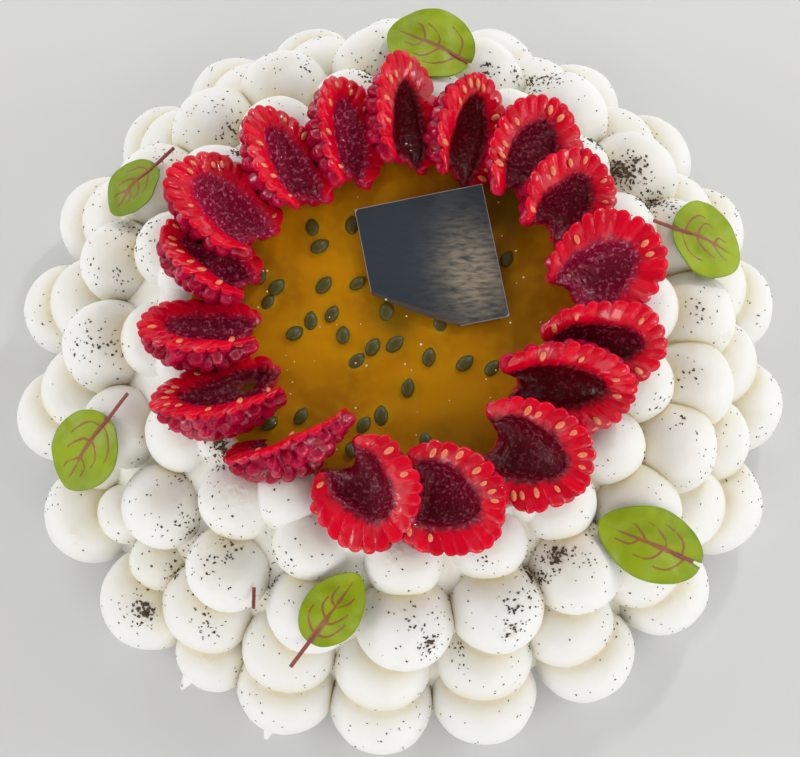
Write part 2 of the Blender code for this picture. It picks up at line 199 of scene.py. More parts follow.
VEIN_SHARES = (0.06, 0.28, 0.52)  # where side veins leave the midrib

SCRAP_HEADING, SCRAP_LENGTH, SCRAP_RADIUS = 268, 5.0, 0.4375

CARD_CENTRE = (7.6, 11.0, 61.6)
CARD_SIZE = (31.0, 33.0, 0.6)
CARD_TURNS = ((11.0, "Z"), (5.0, "X"), (-3.2, "Y"))
CARD_DROOP = 5.5  # how steeply its low corner bends under the jelly
CARD_BEND = (-0.476, -0.879, 0.12)  # which way that corner lies, and how far out the bend begins
CARD_SHEEN = (0.30, -0.14)  # where a warm reflection is painted on the brushed lacquer, as shares of the card from its middle
CARD_STEPS = 40

# Passion fruit seeds seen in the photograph: pixel and how far they lie down in the pulp.
PASSION_SEEDS = (
    (312, 227, 0.3), (320, 246, 0.2), (352, 225, 0.8), (259, 275, 0.6), (277, 287, 0.3),
    (324, 285, 0.3), (358, 283, 0.5), (237, 305, 0.9), (311, 321, 0.7), (332, 314, 0.2),
    (295, 333, 0.3), (343, 335, 0.1), (357, 362, 1.0), (373, 347, 0.2), (395, 344, 0.1),
    (429, 357, 0.2), (465, 363, 0.2), (492, 368, 0.4), (408, 388, 0.0), (507, 259, 0.2),
    (364, 425, 0.5), (381, 416, 0.7), (301, 416, 0.2), (270, 423, 0.4), (352, 449, 0.4),
    (312, 179, 0.8), (387, 311, 0.9), (426, 443, 1.1), (268, 301, 1.1), (440, 325, 1.0),
)
# Darker patches of the pulp, partly murky pulp and partly painted shadow beside the card and the berries:
# pixel, spread in millimetres, how dark.
MURKY_AND_SHADED_PATCHES = (
    (512, 215, 5.0, 0.9), (500, 180, 5.0, 0.7), (505, 290, 6.0, 0.4), (470, 425, 9.0, 0.35),
    (400, 322, 3.6, 0.9), (375, 310, 3.0, 0.5), (440, 460, 9.0, 0.3), (330, 440, 9.0, 0.25),
    (525, 340, 6.0, 0.3),
)
PASSION_SEED = (2.55, 1.7, 1.1)  # half its length, width and thickness

# Clusters of dark specks on the cream: pixel, spread in millimetres, how dense.
SPECK_CLUSTERS = (
    (368, 78, 1.9, 2.6), (374, 72, 3.4, 1.0), (240, 155, 1.5, 4.0), (213, 108, 1.2, 1.6),
    (228, 128, 1.6, 1.6), (135, 230, 2.2, 1.8), (145, 236, 3.4, 0.8), (115, 275, 2.6, 0.9),
    (90, 340, 3.6, 0.9), (85, 380, 1.6, 1.0), (219, 444, 1.7, 4.0), (225, 462, 3.0, 1.4),
    (182, 478, 1.2, 1.6), (193, 531, 1.2, 2.4), (178, 527, 2.6, 1.0), (153, 491, 1.0, 1.4),
    (175, 570, 2.0, 1.6), (145, 612, 1.4, 4.0), (140, 608, 3.0, 1.0), (205, 570, 3.0, 1.0),
    (196, 606, 3.0, 1.0), (215, 635, 3.0, 0.9), (231, 549, 2.0, 1.4), (282, 560, 2.0, 1.4),
    (275, 575, 3.0, 0.8), (558, 556, 1.7, 3.4), (545, 560, 3.0, 1.0), (528, 573, 1.3, 3.2),
    (543, 578, 1.2, 2.6), (530, 592, 3.0, 1.2), (514, 606, 1.6, 1.4), (510, 632, 1.6, 3.0),
    (430, 645, 1.6, 2.8), (455, 655, 2.4, 1.2), (483, 563, 1.6, 1.2), (619, 170, 1.8, 4.0),
    (632, 178, 3.6, 1.6), (639, 161, 1.2, 3.0), (594, 142, 1.5, 3.0), (656, 202, 2.0, 2.6),
    (645, 205, 1.2, 2.6), (667, 208, 2.0, 1.6), (487, 68, 1.6, 2.4), (515, 76, 1.2, 2.4),
    (541, 80, 3.6, 1.7), (530, 84, 1.3, 2.6), (697, 307, 2.2, 1.1), (690, 370, 2.6, 0.8),
    (658, 403, 1.3, 1.8), (683, 420, 1.0, 2.0), (592, 530, 1.6, 1.2), (110, 350, 2.6, 1.0),
    (175, 255, 2.2, 1.0), (160, 165, 3.0, 0.6), (236, 112, 3.4, 0.5), (307, 68, 1.3, 1.3),
    (299, 109, 1.2, 1.3), (420, 615, 3.0, 0.8), (590, 560, 2.4, 0.8), (735, 330, 2.6, 0.6),
)
SPECK_SIZE = 0.40  # scale of the crumb, which is about two millimetres across
SPECKS_EVERYWHERE = 0.022  # as a share of the densest cluster
SPECKS_PER_SQUARE_METRE = 1.8e6
# Ragged patches of the cream: pixel and spread in millimetres.
RAGGED_PATCHES = (
    (238, 492, 2.6), (215, 540, 2.2), (74, 538, 1.6), (204, 655, 1.4), (725, 335, 1.4), (395, 553, 2.0),
)

# Light: the room's brightness at its walls and its ceiling, and the lamps as name, direction,
# elevation, size and power.
FLOOR_REACH = 2000
ROOM_LIGHT = 1.10
CEILING_LIGHT = 0.22
CEILING_FADE = (0.5, 0.9)
LAMP_DISTANCE = 1.0
LAMPS = (
    ("front_left", -115, 22, 0.40, 1.0),
    ("front_right", -60, 24, 0.40, 1.2),
    ("left", 175, 22, 0.35, 1.4),
    ("right", 5, 24, 0.35, 1.5),
    ("back_left", 120, 26, 0.35, 0.7),
    ("back_right", 60, 38, 0.10, 1.6),
)


def under_camera(x, y):
    """Where the camera stands, and which way a pixel of the photograph lies from it."""
    elevation = math.radians(CAMERA_ELEVATION)
    back = Vector((0, -math.cos(elevation), math.sin(elevation)))
    right = Vector((1, 0, 0))
    above = back.cross(right)
    across = right * (x - PHOTO_WIDTH / 2) + above * (PHOTO_HEIGHT / 2 - y)
    return CAMERA_TARGET + back * CAMERA_DISTANCE, across / FOCAL_PIXELS - back


def on_level(x, y, height):
    """The point at a height that a pixel of the photograph shows."""
    start, way = under_camera(x, y)
    return start + way * ((height - start.z) / way.z)


class Link:
    """An output socket of a node; arithmetic on it adds Math nodes."""

    def __init__(self, graph, socket):
        self.graph = graph
        self.socket = socket

    def maths(self, operation, *values):
        return self.graph.node("ShaderNodeMath", {"operation": operation}, dict(enumerate(values)))

    def __add__(self, other):
        return self.maths("ADD", self, other)

    def __sub__(self, other):
        return self.maths("SUBTRACT", self, other)

    def __rsub__(self, other):
        return self.maths("SUBTRACT", other, self)

    def __mul__(self, other):
        return self.maths("MULTIPLY", self, other)

    __radd__ = __add__
    __rmul__ = __mul__

    def between(self, low, high):
        """0 below low, 1 above high and smooth between them."""
        return self.graph.node(
            "ShaderNodeMapRange", {"interpolation_type": "SMOOTHSTEP"},
            {"Value": self, "From Min": low, "From Max": high},
        )


class Graph:
    """A node tree, and the one method that adds nodes to it."""

    def __init__(self, tree):
        self.tree = tree

    def node(self, kind, settings=None, sockets=None, output=0):
        made = self.tree.nodes.new(kind)
        for name, value in (settings or {}).items():
            setattr(made, name, value)
        for key, value in (sockets or {}).items():
            if isinstance(value, Link):
                self.tree.links.new(value.socket, made.inputs[key])
            else:
                made.inputs[key].default_value = value
        return Link(self, made.outputs[output]) if made.outputs else None


class Finish(Graph):
    """A material with a Principled surface."""

    def __init__(self, name):
        self.material = bpy.data.materials.new(name)
        self.material.use_nodes = True
        super().__init__(self.material.node_tree)
        self.tree.nodes.clear()

    def attribute(self, name):
        return self.node("ShaderNodeAttribute", {"attribute_name": name}, output="Fac")

    def noise(self, size, detail=2.0, stretch=(1, 1, 1)):
        """Noise whose lumps are about a size across."""
        place = self.node("ShaderNodeTexCoord", output="Object")
        place = self.node("ShaderNodeMapping", {}, {"Vector": place, "Scale": stretch})
        sockets = {"Vector": place, "Scale": 0.5 / (size * MM), "Detail": detail}
        return self.node("ShaderNodeTexNoise", {}, sockets, output="Fac")

    def mix(self, share, one, other):
        sockets = {0: share, 6: opaque(one), 7: opaque(other)}
        return self.node("ShaderNodeMix", {"data_type": "RGBA"}, sockets, output=2)

    def bump(self, height, depth, strength):
        sockets = {"Height": height, "Distance": depth * MM, "Strength": strength}
        return self.node("ShaderNodeBump", {}, sockets)

    def surface(self, sockets):
        shader = self.node("ShaderNodeBsdfPrincipled", {}, sockets)
        self.node("ShaderNodeOutputMaterial", {}, {"Surface": shader})
        return self.material


class Growth(Graph):
    """A Geometry Nodes tree with named inputs, run once and kept as a plain mesh."""

    def __init__(self, name):
        self.name = name
        super().__init__(bpy.data.node_groups.new(name, "GeometryNodeTree"))
        self.values = {}
        self.tree.interface.new_socket("Base", in_out="INPUT", socket_type="NodeSocketGeometry")
        self.tree.interface.new_socket("Result", in_out="OUTPUT", socket_type="NodeSocketGeometry")
        self.base = self.node("NodeGroupInput")

    def given(self, name, kind, value):
        made = self.tree.interface.new_socket(name, in_out="INPUT", socket_type="NodeSocket" + kind)
        self.values[made.identifier] = value
        return Link(self, self.base.socket.node.outputs[name])

    def stored(self, name, kind):
        return self.node("GeometryNodeInputNamedAttribute", {"data_type": kind}, {"Name": name})

    def whole(self, name, obj):
        """Another object's mesh, handed in as a named input."""
        source = self.given(name, "Object", obj)
        return self.node("GeometryNodeObjectInfo", {}, {"Object": source}, output="Geometry")

    def run(self, base, placed, material):
        """The mesh of the instances that are placed on points."""
        made = self.node("GeometryNodeInstanceOnPoints", {}, placed)
        real = self.node("GeometryNodeRealizeInstances", {}, {0: made})
        dressed = self.node("GeometryNodeSetMaterial", {}, {"Geometry": real, "Material": material})
        self.node("NodeGroupOutput", {}, {0: dressed})
        modifier = base.modifiers.new(self.name, "NODES")
        modifier.node_group = self.tree
        for identifier, value in self.values.items():
            modifier[identifier] = value
        mesh = evaluated_mesh(base)
        bpy.data.objects.remove(base, do_unlink=True)
        return linked(self.name, mesh)


def opaque(colour):
    return colour if isinstance(colour, Link) else (*colour, 1.0)


def evaluated_mesh(obj):
    bpy.context.view_layer.update()
    return bpy.data.meshes.new_from_object(obj.evaluated_get(bpy.context.evaluated_depsgraph_get()))


def linked(name, mesh, collection=None):
    obj = bpy.data.objects.new(name, mesh)
    (collection or bpy.context.scene.collection).objects.link(obj)
    return obj


def mesh_of(name, points, faces):
    """A mesh in metres from points in millimetres."""
    mesh = bpy.data.meshes.new(name)
    mesh.from_pydata((np.asarray(points, float) * MM).tolist(), [], faces)
    mesh.update()
    return mesh


def opened(mesh):
    bm = bmesh.new()
    bm.from_mesh(mesh)
    return bm


def closed(bm, mesh):
    """Writes what was made with bmesh into a mesh, or into a new one of that name."""
    if isinstance(mesh, str):
        mesh = bpy.data.meshes.new(mesh)
    bm.to_mesh(mesh)
    bm.free()
    return mesh


def turned_outwards(mesh, smooth_below=None):
    bm = opened(mesh)
    bmesh.ops.recalc_face_normals(bm, faces=bm.faces)
    closed(bm, mesh)
    mesh.shade_smooth()
    if smooth_below:
        mesh.set_sharp_from_angle(angle=math.radians(smooth_below))


def remember(mesh, name, values):
    """Keeps a number or an arrow for each point of the mesh, for node trees to read."""
    values = np.asarray(values, np.float32)
    kind, part = ("FLOAT", "value") if values.ndim == 1 else ("FLOAT_VECTOR", "vector")
    mesh.attributes.new(name, kind, "POINT").data.foreach_set(part, values.ravel())


def points_of(mesh):
    """The mesh's points in millimetres."""
    places = np.zeros(len(mesh.vertices) * 3, np.float32)
    mesh.vertices.foreach_get("co", places)
    return places.reshape(-1, 3).astype(float) / MM


def grid_faces(index):
    """Quads between neighbouring entries of a grid of point numbers."""
    faces = []
    for lower, upper in zip(index, index[1:]):
        for column in range(len(lower) - 1):
            corners = (lower[column], lower[column + 1], upper[column + 1], upper[column])
            kept = list(dict.fromkeys(int(corner) for corner in corners))
            if len(kept) > 2:
                faces.append(kept)
    return faces


def dressed(obj, slot, material=None, replaces=()):
    """A finished piece: its material, the body it rides on and the node it stands for."""
    if material:
        obj.data.materials.clear()
        obj.data.materials.append(material)
    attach(obj, "root")
    if replaces:
        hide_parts(*replaces)


def at(direction, distance, height):
    turn = math.radians(direction)
    return Vector((distance * math.cos(turn), distance * math.sin(turn), height))


def boolean(obj, operation, other):
    """Joins or cuts an object at once, and removes the object or collection it was done with."""
    modifier = obj.modifiers.new(operation.title(), "BOOLEAN")
    modifier.operation = operation
    modifier.solver = "MANIFOLD"
    several = isinstance(other, bpy.types.Collection)
    if several:
        modifier.operand_type = "COLLECTION"
        modifier.collection = other
    else:
        modifier.object = other
    mesh = evaluated_mesh(obj)
    obj.modifiers.clear()
    obj.data = mesh
    for used in list(other.objects) if several else [other]:
        bpy.data.objects.remove(used, do_unlink=True)
    if several:
        bpy.data.collections.remove(other)


def turned(name, profile, steps):
    """A solid of revolution from the distances and heights of its profile."""
    bm = bmesh.new()
    points = [bm.verts.new((radius * MM, 0, height * MM)) for radius, height in profile]
    for one, other in zip(points, points[1:]):
        bm.edges.new((one, other))
    bmesh.ops.spin(
        bm, geom=bm.verts[:] + bm.edges[:], axis=(0, 0, 1), cent=(0, 0, 0),
        steps=steps, angle=math.tau, use_duplicate=False, use_merge=True,
    )
    bmesh.ops.remove_doubles(bm, verts=bm.verts, dist=WELD)
    bmesh.ops.recalc_face_normals(bm, faces=bm.faces)
    return linked(name, closed(bm, name))


def dollops():
    """Centre and radius of every dollop."""
    draw = random.Random(SEED)
    found = []
    for row in ROWS:
        direction = row["first"]
        for index in range(len(row["turns"]) + 1):
            stray = 1 + draw.uniform(-UNEVENNESS, UNEVENNESS)
            size = row["radius"] * row["small"].get(index, 1.0) * stray
            found.append((at(direction, row["distance"], row["height"]), size))
            if index < len(row["turns"]):
                direction += row["turns"][index]
    return found


def cream_dollop(number, centre, radius, group, subdivisions=5):
    """A ball of piped cream, uneven on a large and on a small scale."""
    bm = bmesh.new()
    bmesh.ops.create_icosphere(bm, subdivisions=subdivisions, radius=1.0)
    for vert in bm.verts:
        way = vert.co.copy()
        place = centre + way * radius
        large = noise.noise(place / 9.0 + Vector((number * 3.1, 0, 0)))
        small = noise.noise(place / 2.2 + Vector((0, number * 2.7, 0)))
        vert.co = (centre + way * (radius * (1 + DOLLOP_WOBBLE * large) + DOLLOP_DIMPLES * small)) * MM
    linked("dollop", closed(bm, "dollop"), group)


def cream_nub(direction, distance, height, radius, group):
    """The short tail left where the piping bag was pulled away."""
    bm = bmesh.new()
    bmesh.ops.create_cone(
        bm, cap_ends=True, segments=20, radius1=radius * 1.5, radius2=radius * 0.3, depth=radius * 3.2,
    )
    spin = at(direction, 1, -0.2).normalized().to_track_quat("Z", "Y").to_matrix().to_4x4()
    bmesh.ops.transform(bm, matrix=Matrix.Translation(at(direction, distance, height)) @ spin, verts=bm.verts)
    bmesh.ops.scale(bm, vec=(MM, MM, MM), verts=bm.verts)
    linked("nub", closed(bm, "nub"), group)


def cream_wall(balls):
    core = turned("cream_wall", CORE_PROFILE, 96)
    group = bpy.data.collections.new("dollops")
    bpy.context.scene.collection.children.link(group)
    for number, (centre, radius) in enumerate(balls):
        cream_dollop(number, centre, radius, group)
    for number in range(FILLER_COUNT):
        place = at(360 * number / FILLER_COUNT + 7 * math.sin(5 * number), FILLER_DISTANCE, FILLER_HEIGHT)
        radius = FILLER_RADIUS * (1 + 0.06 * math.sin(3 * number))
        cream_dollop(100 + number, place, radius, group, subdivisions=4)
    cream_dollop(99, on_level(*GAP_FILLER), FILLER_RADIUS + 1.5, group, subdivisions=4)
    for nub in NUBS:
        cream_nub(*nub, group)
    boolean(core, "UNION", group)
    # A block under the ground cuts off what reaches below it.
    bm = bmesh.new()
    bmesh.ops.create_cube(bm, size=1.0)
    bmesh.ops.scale(bm, vec=(0.3, 0.3, 0.02), verts=bm.verts)
    bmesh.ops.translate(bm, vec=(0, 0, -0.01), verts=bm.verts)
    boolean(core, "DIFFERENCE", linked("below", closed(bm, "below")))
    fewer = core.modifiers.new("Fewer", "DECIMATE")
    fewer.ratio = min(1.0, CREAM_TRIANGLES / (2.0 * len(core.data.polygons)))
    core.data = evaluated_mesh(core)
    core.modifiers.clear()
    core.data.shade_smooth()
    core.data.set_sharp_from_angle(angle=math.radians(30))
    places = points_of(core.data)
    centres = np.array([tuple(centre) for centre, _ in balls])
    radii = np.array([radius for _, radius in balls])
    gaps = np.array([np.sort(np.linalg.norm(centres - place, axis=1) - radii)[1] for place in places])
    # Closeness to the next dollop, which the cream's finish darkens as painted shade in the creases.
    remember(core.data, "crease_shade", np.exp(-np.clip(gaps, 0, None) / CREASE_SHADE_WIDTH))
    return core


def patches(places, cream_tree, spots):
    """How strongly the patches that the photograph shows at some pixels reach each point of the cream."""
    strength = np.zeros(len(places))
    for x, y, spread, weight in spots:
        start, way = under_camera(x, y)
        hit = cream_tree.ray_cast(start * MM, way)[0]
        if hit is not None:
            away = np.linalg.norm(places - np.array(hit) / MM, axis=1)
            strength += weight * np.exp(-(away**2) / (2 * spread**2))
    return strength


def speck_density(places, upwards, cream_tree):
    """How thickly specks lie at each point of the cream."""
    density = 0.25 * patches(places, cream_tree, SPECK_CLUSTERS)
    drift = np.array([noise.noise(Vector(place) / 14.0) for place in places])
    density += SPECKS_EVERYWHERE * np.clip(0.9 + 2.2 * drift, 0.15, None)
    inside = np.hypot(places[:, 0], places[:, 1]) < JELLY_RADIUS + 1
    return np.where(inside, 0.0, np.clip(density * np.clip(upwards * 2.0 + 0.5, 0.0, 1.0), 0, 1))


def crumb():
    """One ragged speck, about two millimetres across."""
    bm = bmesh.new()
    bmesh.ops.create_icosphere(bm, subdivisions=1, radius=MM)
    draw = random.Random(SEED + 2)
    for vert in bm.verts:
        vert.co *= draw.uniform(0.55, 1.3)
    return linked("crumb", closed(bm, "crumb"))


def specks(cream):
    """Dark specks strewn over the cream."""
    base = linked("speck_base", cream.data.copy())
    bm = opened(base.data)
    tree = BVHTree.FromBMesh(bm)
    bm.free()
    normals = np.zeros(len(base.data.vertices) * 3, np.float32)
    base.data.vertices.foreach_get("normal", normals)
    upwards = normals.reshape(-1, 3)[:, 2]
    places = points_of(base.data)
    density = speck_density(places, upwards, tree)
    torn = patches(places, tree, [(*patch, 1.0) for patch in RAGGED_PATCHES])
    remember(base.data, "density", density)
    remember(cream.data, "ragged", np.clip(torn, 0, 1))
    remember(cream.data, "dust", density)
    # How much the cream faces up, which the cream's finish turns into painted shade on its upper faces.
    remember(cream.data, "upwards", np.clip((upwards - 0.55) / 0.45, 0, 1))
    grain = crumb()
    growth = Growth("specks")
    thickness = growth.stored("density", "FLOAT")
    number = thickness * growth.given("Density", "Float", SPECKS_PER_SQUARE_METRE)
    spread = {"Mesh": growth.base, "Density": number, "Seed": growth.given("Seed", "Int", SEED)}
    scattered = growth.node("GeometryNodeDistributePointsOnFaces", {}, spread)
    size = growth.given("Size", "Float", SPECK_SIZE) * (0.7 + thickness * 1.1)
    draw = {"Min": (0.3, 0.3, 0.3), "Max": (1.8, 1.3, 0.8), "Seed": 3}
    uneven = growth.node("FunctionNodeRandomValue", {"data_type": "FLOAT_VECTOR"}, draw)
    turn = {"Min": (-0.5, -0.5, 0.0), "Max": (0.5, 0.5, math.tau), "Seed": 4}
    spin = growth.node("FunctionNodeRandomValue", {"data_type": "FLOAT_VECTOR"}, turn)
    lying = Link(growth, scattered.socket.node.outputs["Rotation"])
    facing = growth.node("FunctionNodeRotateRotation", {"rotation_space": "LOCAL"}, {0: lying, 1: spin})
    scale = growth.node("ShaderNodeVectorMath", {"operation": "SCALE"}, {0: uneven, "Scale": size})
    shape = growth.whole("Crumb", grain)
    placed = {"Points": scattered, "Instance": shape, "Rotation": facing, "Scale": scale}
    piece = growth.run(base, placed, speck_finish())
    bpy.data.objects.remove(grain, do_unlink=True)
    return piece


def grain_object(name, half_sizes, subdivisions=2, taper=0.0):
    """A smooth seed: an ellipsoid, narrower towards one end."""
    bm = bmesh.new()
    bmesh.ops.create_icosphere(bm, subdivisions=subdivisions, radius=1.0)
    for vert in bm.verts:
        narrow = 1 - taper * max(0.0, vert.co.x) ** 2
        vert.co = vert.co * Vector(half_sizes) * Vector((1, narrow, narrow)) * MM
    mesh = closed(bm, name)
    mesh.shade_smooth()
    return linked(name, mesh)


def placed_grains(name, grain, places, ups, longs, sizes, material):
    """One mesh of the same grain at each place, facing up and lying along its own way."""
    mesh = mesh_of(name, places, [])
    remember(mesh, "up", ups)
    remember(mesh, "long", longs)
    remember(mesh, "size", sizes)
    growth = Growth(name)
    size = growth.stored("size", "FLOAT") * growth.given("Size", "Float", 1.0)
    axes = {0: growth.stored("up", "FLOAT_VECTOR"), 1: growth.stored("long", "FLOAT_VECTOR")}
    facing = growth.node("FunctionNodeAxesToRotation", {"primary_axis": "Z", "secondary_axis": "X"}, axes)
    shape = growth.whole("Grain", grain)
    placed = {"Points": growth.base, "Instance": shape, "Rotation": facing, "Scale": size}
    piece = growth.run(linked(name + "_points", mesh), placed, material)
    bpy.data.objects.remove(grain, do_unlink=True)
    piece.data.shade_smooth()
    return piece


def eased(share):
    """Stations closer together near the tip, where the outline turns fast."""
    return np.sin(np.pi / 2 * share)


def berry_width(along):
    """Half the width of a berry, as a share of its widest, at shares of its length."""
    before = np.clip((BERRY_WIDEST - along) / BERRY_WIDEST, 0, 1)
    past = np.clip((along - BERRY_WIDEST) / (1 - BERRY_WIDEST), 0, 1)
    return (1 - (1 - BERRY_MOUTH) * before**MOUTH_ROUNDING) * np.sqrt(1 - past**ROUNDING)


def hollow_width(along):
    before = np.clip((HOLLOW_WIDEST - along) / HOLLOW_WIDEST, 0, 1)
    mouth = 1 - (1 - HOLLOW_MOUTH) * before**MOUTH_ROUNDING
    return mouth * np.sqrt(np.clip(1 - (along / HOLLOW_END) ** ROUNDING, 0, 1))


def berry_frame(berry):
    """The middle of a berry, and which way its tip, its raised side and its cut face look."""
    tip, lean = at(berry["heading"], 1, 0), math.radians(berry["lean"])
    clockwise = Vector((tip.y, -tip.x, 0))
    face = math.cos(lean) * Vector((0, 0, 1)) + math.sin(lean) * clockwise
    centre = at(berry["at"], berry["distance"], berry["height"])
    return np.array(centre), np.array((tip, face.cross(tip), face))


def into_place(berry, local):
    """Points of a berry's own frame (tip, side, out of the cut face) in the cake's frame."""
    centre, axes = berry_frame(berry)
    return local @ axes + centre


def shell(length, radius, ends, widths, stations, steps, lip_back=LIP_BACK):
    """A half shell in the berry's own frame, from its open end to its closed one."""
    along = ends * eased(np.linspace(0, 1, stations + 1))
    turn = np.linspace(0, np.pi, steps + 1)
    reach = radius * widths(along)
    reach[-1] = 0.0
    deep = lip_back > LIP_BACK
    arms = np.minimum(turn, np.pi / 2) if deep else turn
    lip = lip_back * np.sin(arms) ** 2.4 - ARM_AHEAD * np.maximum(np.cos(turn), 0)
    lip += ARM_TOP * np.clip(1 - np.minimum(turn, np.pi - turn) / 0.4, 0, 1) ** 2
    fade = np.clip(1 - along / (DEEP_MOUTH_SHARE if deep else MOUTH_SHARE), 0, 1) ** 2
    return np.stack(
        (
            (length * (along - 0.5))[:, None] + fade[:, None] * lip[None],
            reach[:, None] * np.cos(turn)[None, :],
            -reach[:, None] * np.sin(turn)[None, :],
        ),
        axis=-1,
    )


def shell_normals(grid):
    """Outward directions at the points of a half shell."""
    normals = np.cross(np.gradient(grid, axis=0), np.gradient(grid, axis=1))
    normals /= np.maximum(np.linalg.norm(normals, axis=-1, keepdims=True), 1e-9)
    normals[-1] = (1.0, 0.0, 0.0)
    return normals


def drupelet_centres(grid, draw):
    """Middles of the drupelets: evenly round the cut rim, then wherever there is room."""
    rim = np.concatenate((grid[:, 0], grid[::-1, -1][1:]))
    reach = np.concatenate(([0], np.cumsum(np.linalg.norm(np.diff(rim, axis=0), axis=1))))
    count = int(round(reach[-1] / DRUPELET_PITCH))
    stops = (np.arange(count) + 0.5 + draw.uniform(-0.16, 0.16, count)) * reach[-1] / count
    centres = [np.array([np.interp(stop, reach, rim[:, axis]) for axis in range(3)]) for stop in stops]
    rim_count = len(centres)
    candidates = grid[:-1, 1:-1].reshape(-1, 3)
    for candidate in candidates[draw.permutation(len(candidates))]:
        if np.linalg.norm(np.array(centres) - candidate, axis=1).min() > DRUPELET_PITCH * 0.92:
            centres.append(candidate)
    return np.array(centres), rim_count


def nearest_two(points, centres):
    """Distances to the nearest and second nearest centre, and which is nearest."""
    flat = points.reshape(-1, 3)
    away = np.linalg.norm(flat[:, None] - centres[None], axis=2)
    order = np.argsort(away, axis=1)[:, :2]
    rows = np.arange(len(flat))
    shape = points.shape[:-1]
    first = away[rows, order[:, 0]].reshape(shape)
    second = away[rows, order[:, 1]].reshape(shape)
    return first, second, order[:, 0].reshape(shape)


def rough(points, size, shift):
    """Noise at each point, from -1 to 1."""
    flat = points.reshape(-1, 3) / size + shift
    return np.array([noise.noise(Vector(place)) for place in flat]).reshape(points.shape[:-1])


def berry_surfaces(berry, draw):
    """The berry's skin and hollow as grids of points, and its drupelets."""
    length, radius = berry["length"], berry["width"] / 2
    grid = (BERRY_STATIONS, BERRY_STEPS, berry["lip"])
    skin = shell(length, radius, 1.0, berry_width, *grid)
    hollow = shell(length, radius - BERRY_WALL, HOLLOW_END, hollow_width, *grid)
    centres, rim_count = drupelet_centres(skin, draw)
    tones = draw.uniform(0, 1, len(centres))
    first, second, nearest = nearest_two(skin, centres)
    dome = np.sqrt(np.clip(1 - (first / DRUPELET_REACH) ** 2, 0, 1)) - DRUPELET_SINK
    out = skin + shell_normals(skin) * (DRUPELET_RELIEF * dome)[..., None]
    out[-1] = out[-1].mean(axis=0)
    shift = draw.uniform(0, 50, 3)
    fuzz = rough(hollow, 1.1, shift) + 0.7 * rough(hollow, 0.55, shift + 9)
    fuzz *= HOLLOW_FUZZ * (0.35 + 0.65 * berry["fuzzy"])
    inside = hollow + shell_normals(hollow) * fuzz[..., None]
    inside[..., 2] -= HOLLOW_EDGE * (1 - np.sin(np.linspace(0, np.pi, BERRY_STEPS + 1)))
    inside[-1] = inside[-1].mean(axis=0)
    for grid in (out, inside):
        warp = np.stack([rough(grid, 11.0, shift + 20 * axis) for axis in (1, 2)], axis=-1)
        grid[..., :2] += BERRY_WARP * 2 * warp
    return out, inside, centres[:rim_count], tones[nearest], second - first


def cut_face(out, inside, side, edge, shift):
    """The flat cut through one arm: cells side by side, each bulging a little."""
    depth = np.linspace(0, 1, BERRY_DEPTHS + 1)
    outer, inner = out[:, side], inside[:, side]
    grid = outer[:, None] + (inner - outer)[:, None] * depth[None, :, None]
    steps = np.linalg.norm(np.gradient(outer, axis=0), axis=1)
    inner_steps = np.linalg.norm(np.gradient(inner, axis=0), axis=1)
    narrowing = 1 - depth[None] + depth[None] * (inner_steps / np.maximum(steps, 1e-6))[:, None]
    wide = edge[:, side][:, None] * np.clip(narrowing, 0.2, 1)
    bulge = np.sqrt(np.clip(wide / 2.0, 0, 1)) * (np.sin(np.pi * depth**0.5) * (1 - depth**2) ** 0.5)[None]
    grid[..., 2] += (inner - outer)[:, 2:] * (depth**4 - depth)[None]
    grid[..., 2] += CUT_BULGE * bulge + 0.12 * rough(grid, 1.6, shift) * np.sin(np.pi * depth)[None]
    grid[..., 2] += CUT_WAVES * rough(grid * (1, 1, 0), 7.0, shift) * np.sin(np.pi * depth)[None]
    share = np.linspace(0, 1, BERRY_STATIONS + 1)
    rounding = np.clip(1 - share / 0.07, 0, 1) ** 2
    grid[..., 0] -= ARM_END * rounding[:, None] * np.sqrt(np.clip(1 - (2 * depth - 1) ** 2, 0, 1))[None]
    return grid, wide


def numbered(shape, start):
    return np.arange(start, start + int(np.prod(shape))).reshape(shape)


def without_loose(faces):
    """The numbers of the points that faces use, and the faces renumbered for those points alone."""
    used = np.unique(np.concatenate([np.array(face) for face in faces]))
    lookup = dict(zip(used.tolist(), range(len(used))))
    return used, [[lookup[corner] for corner in face] for face in faces]


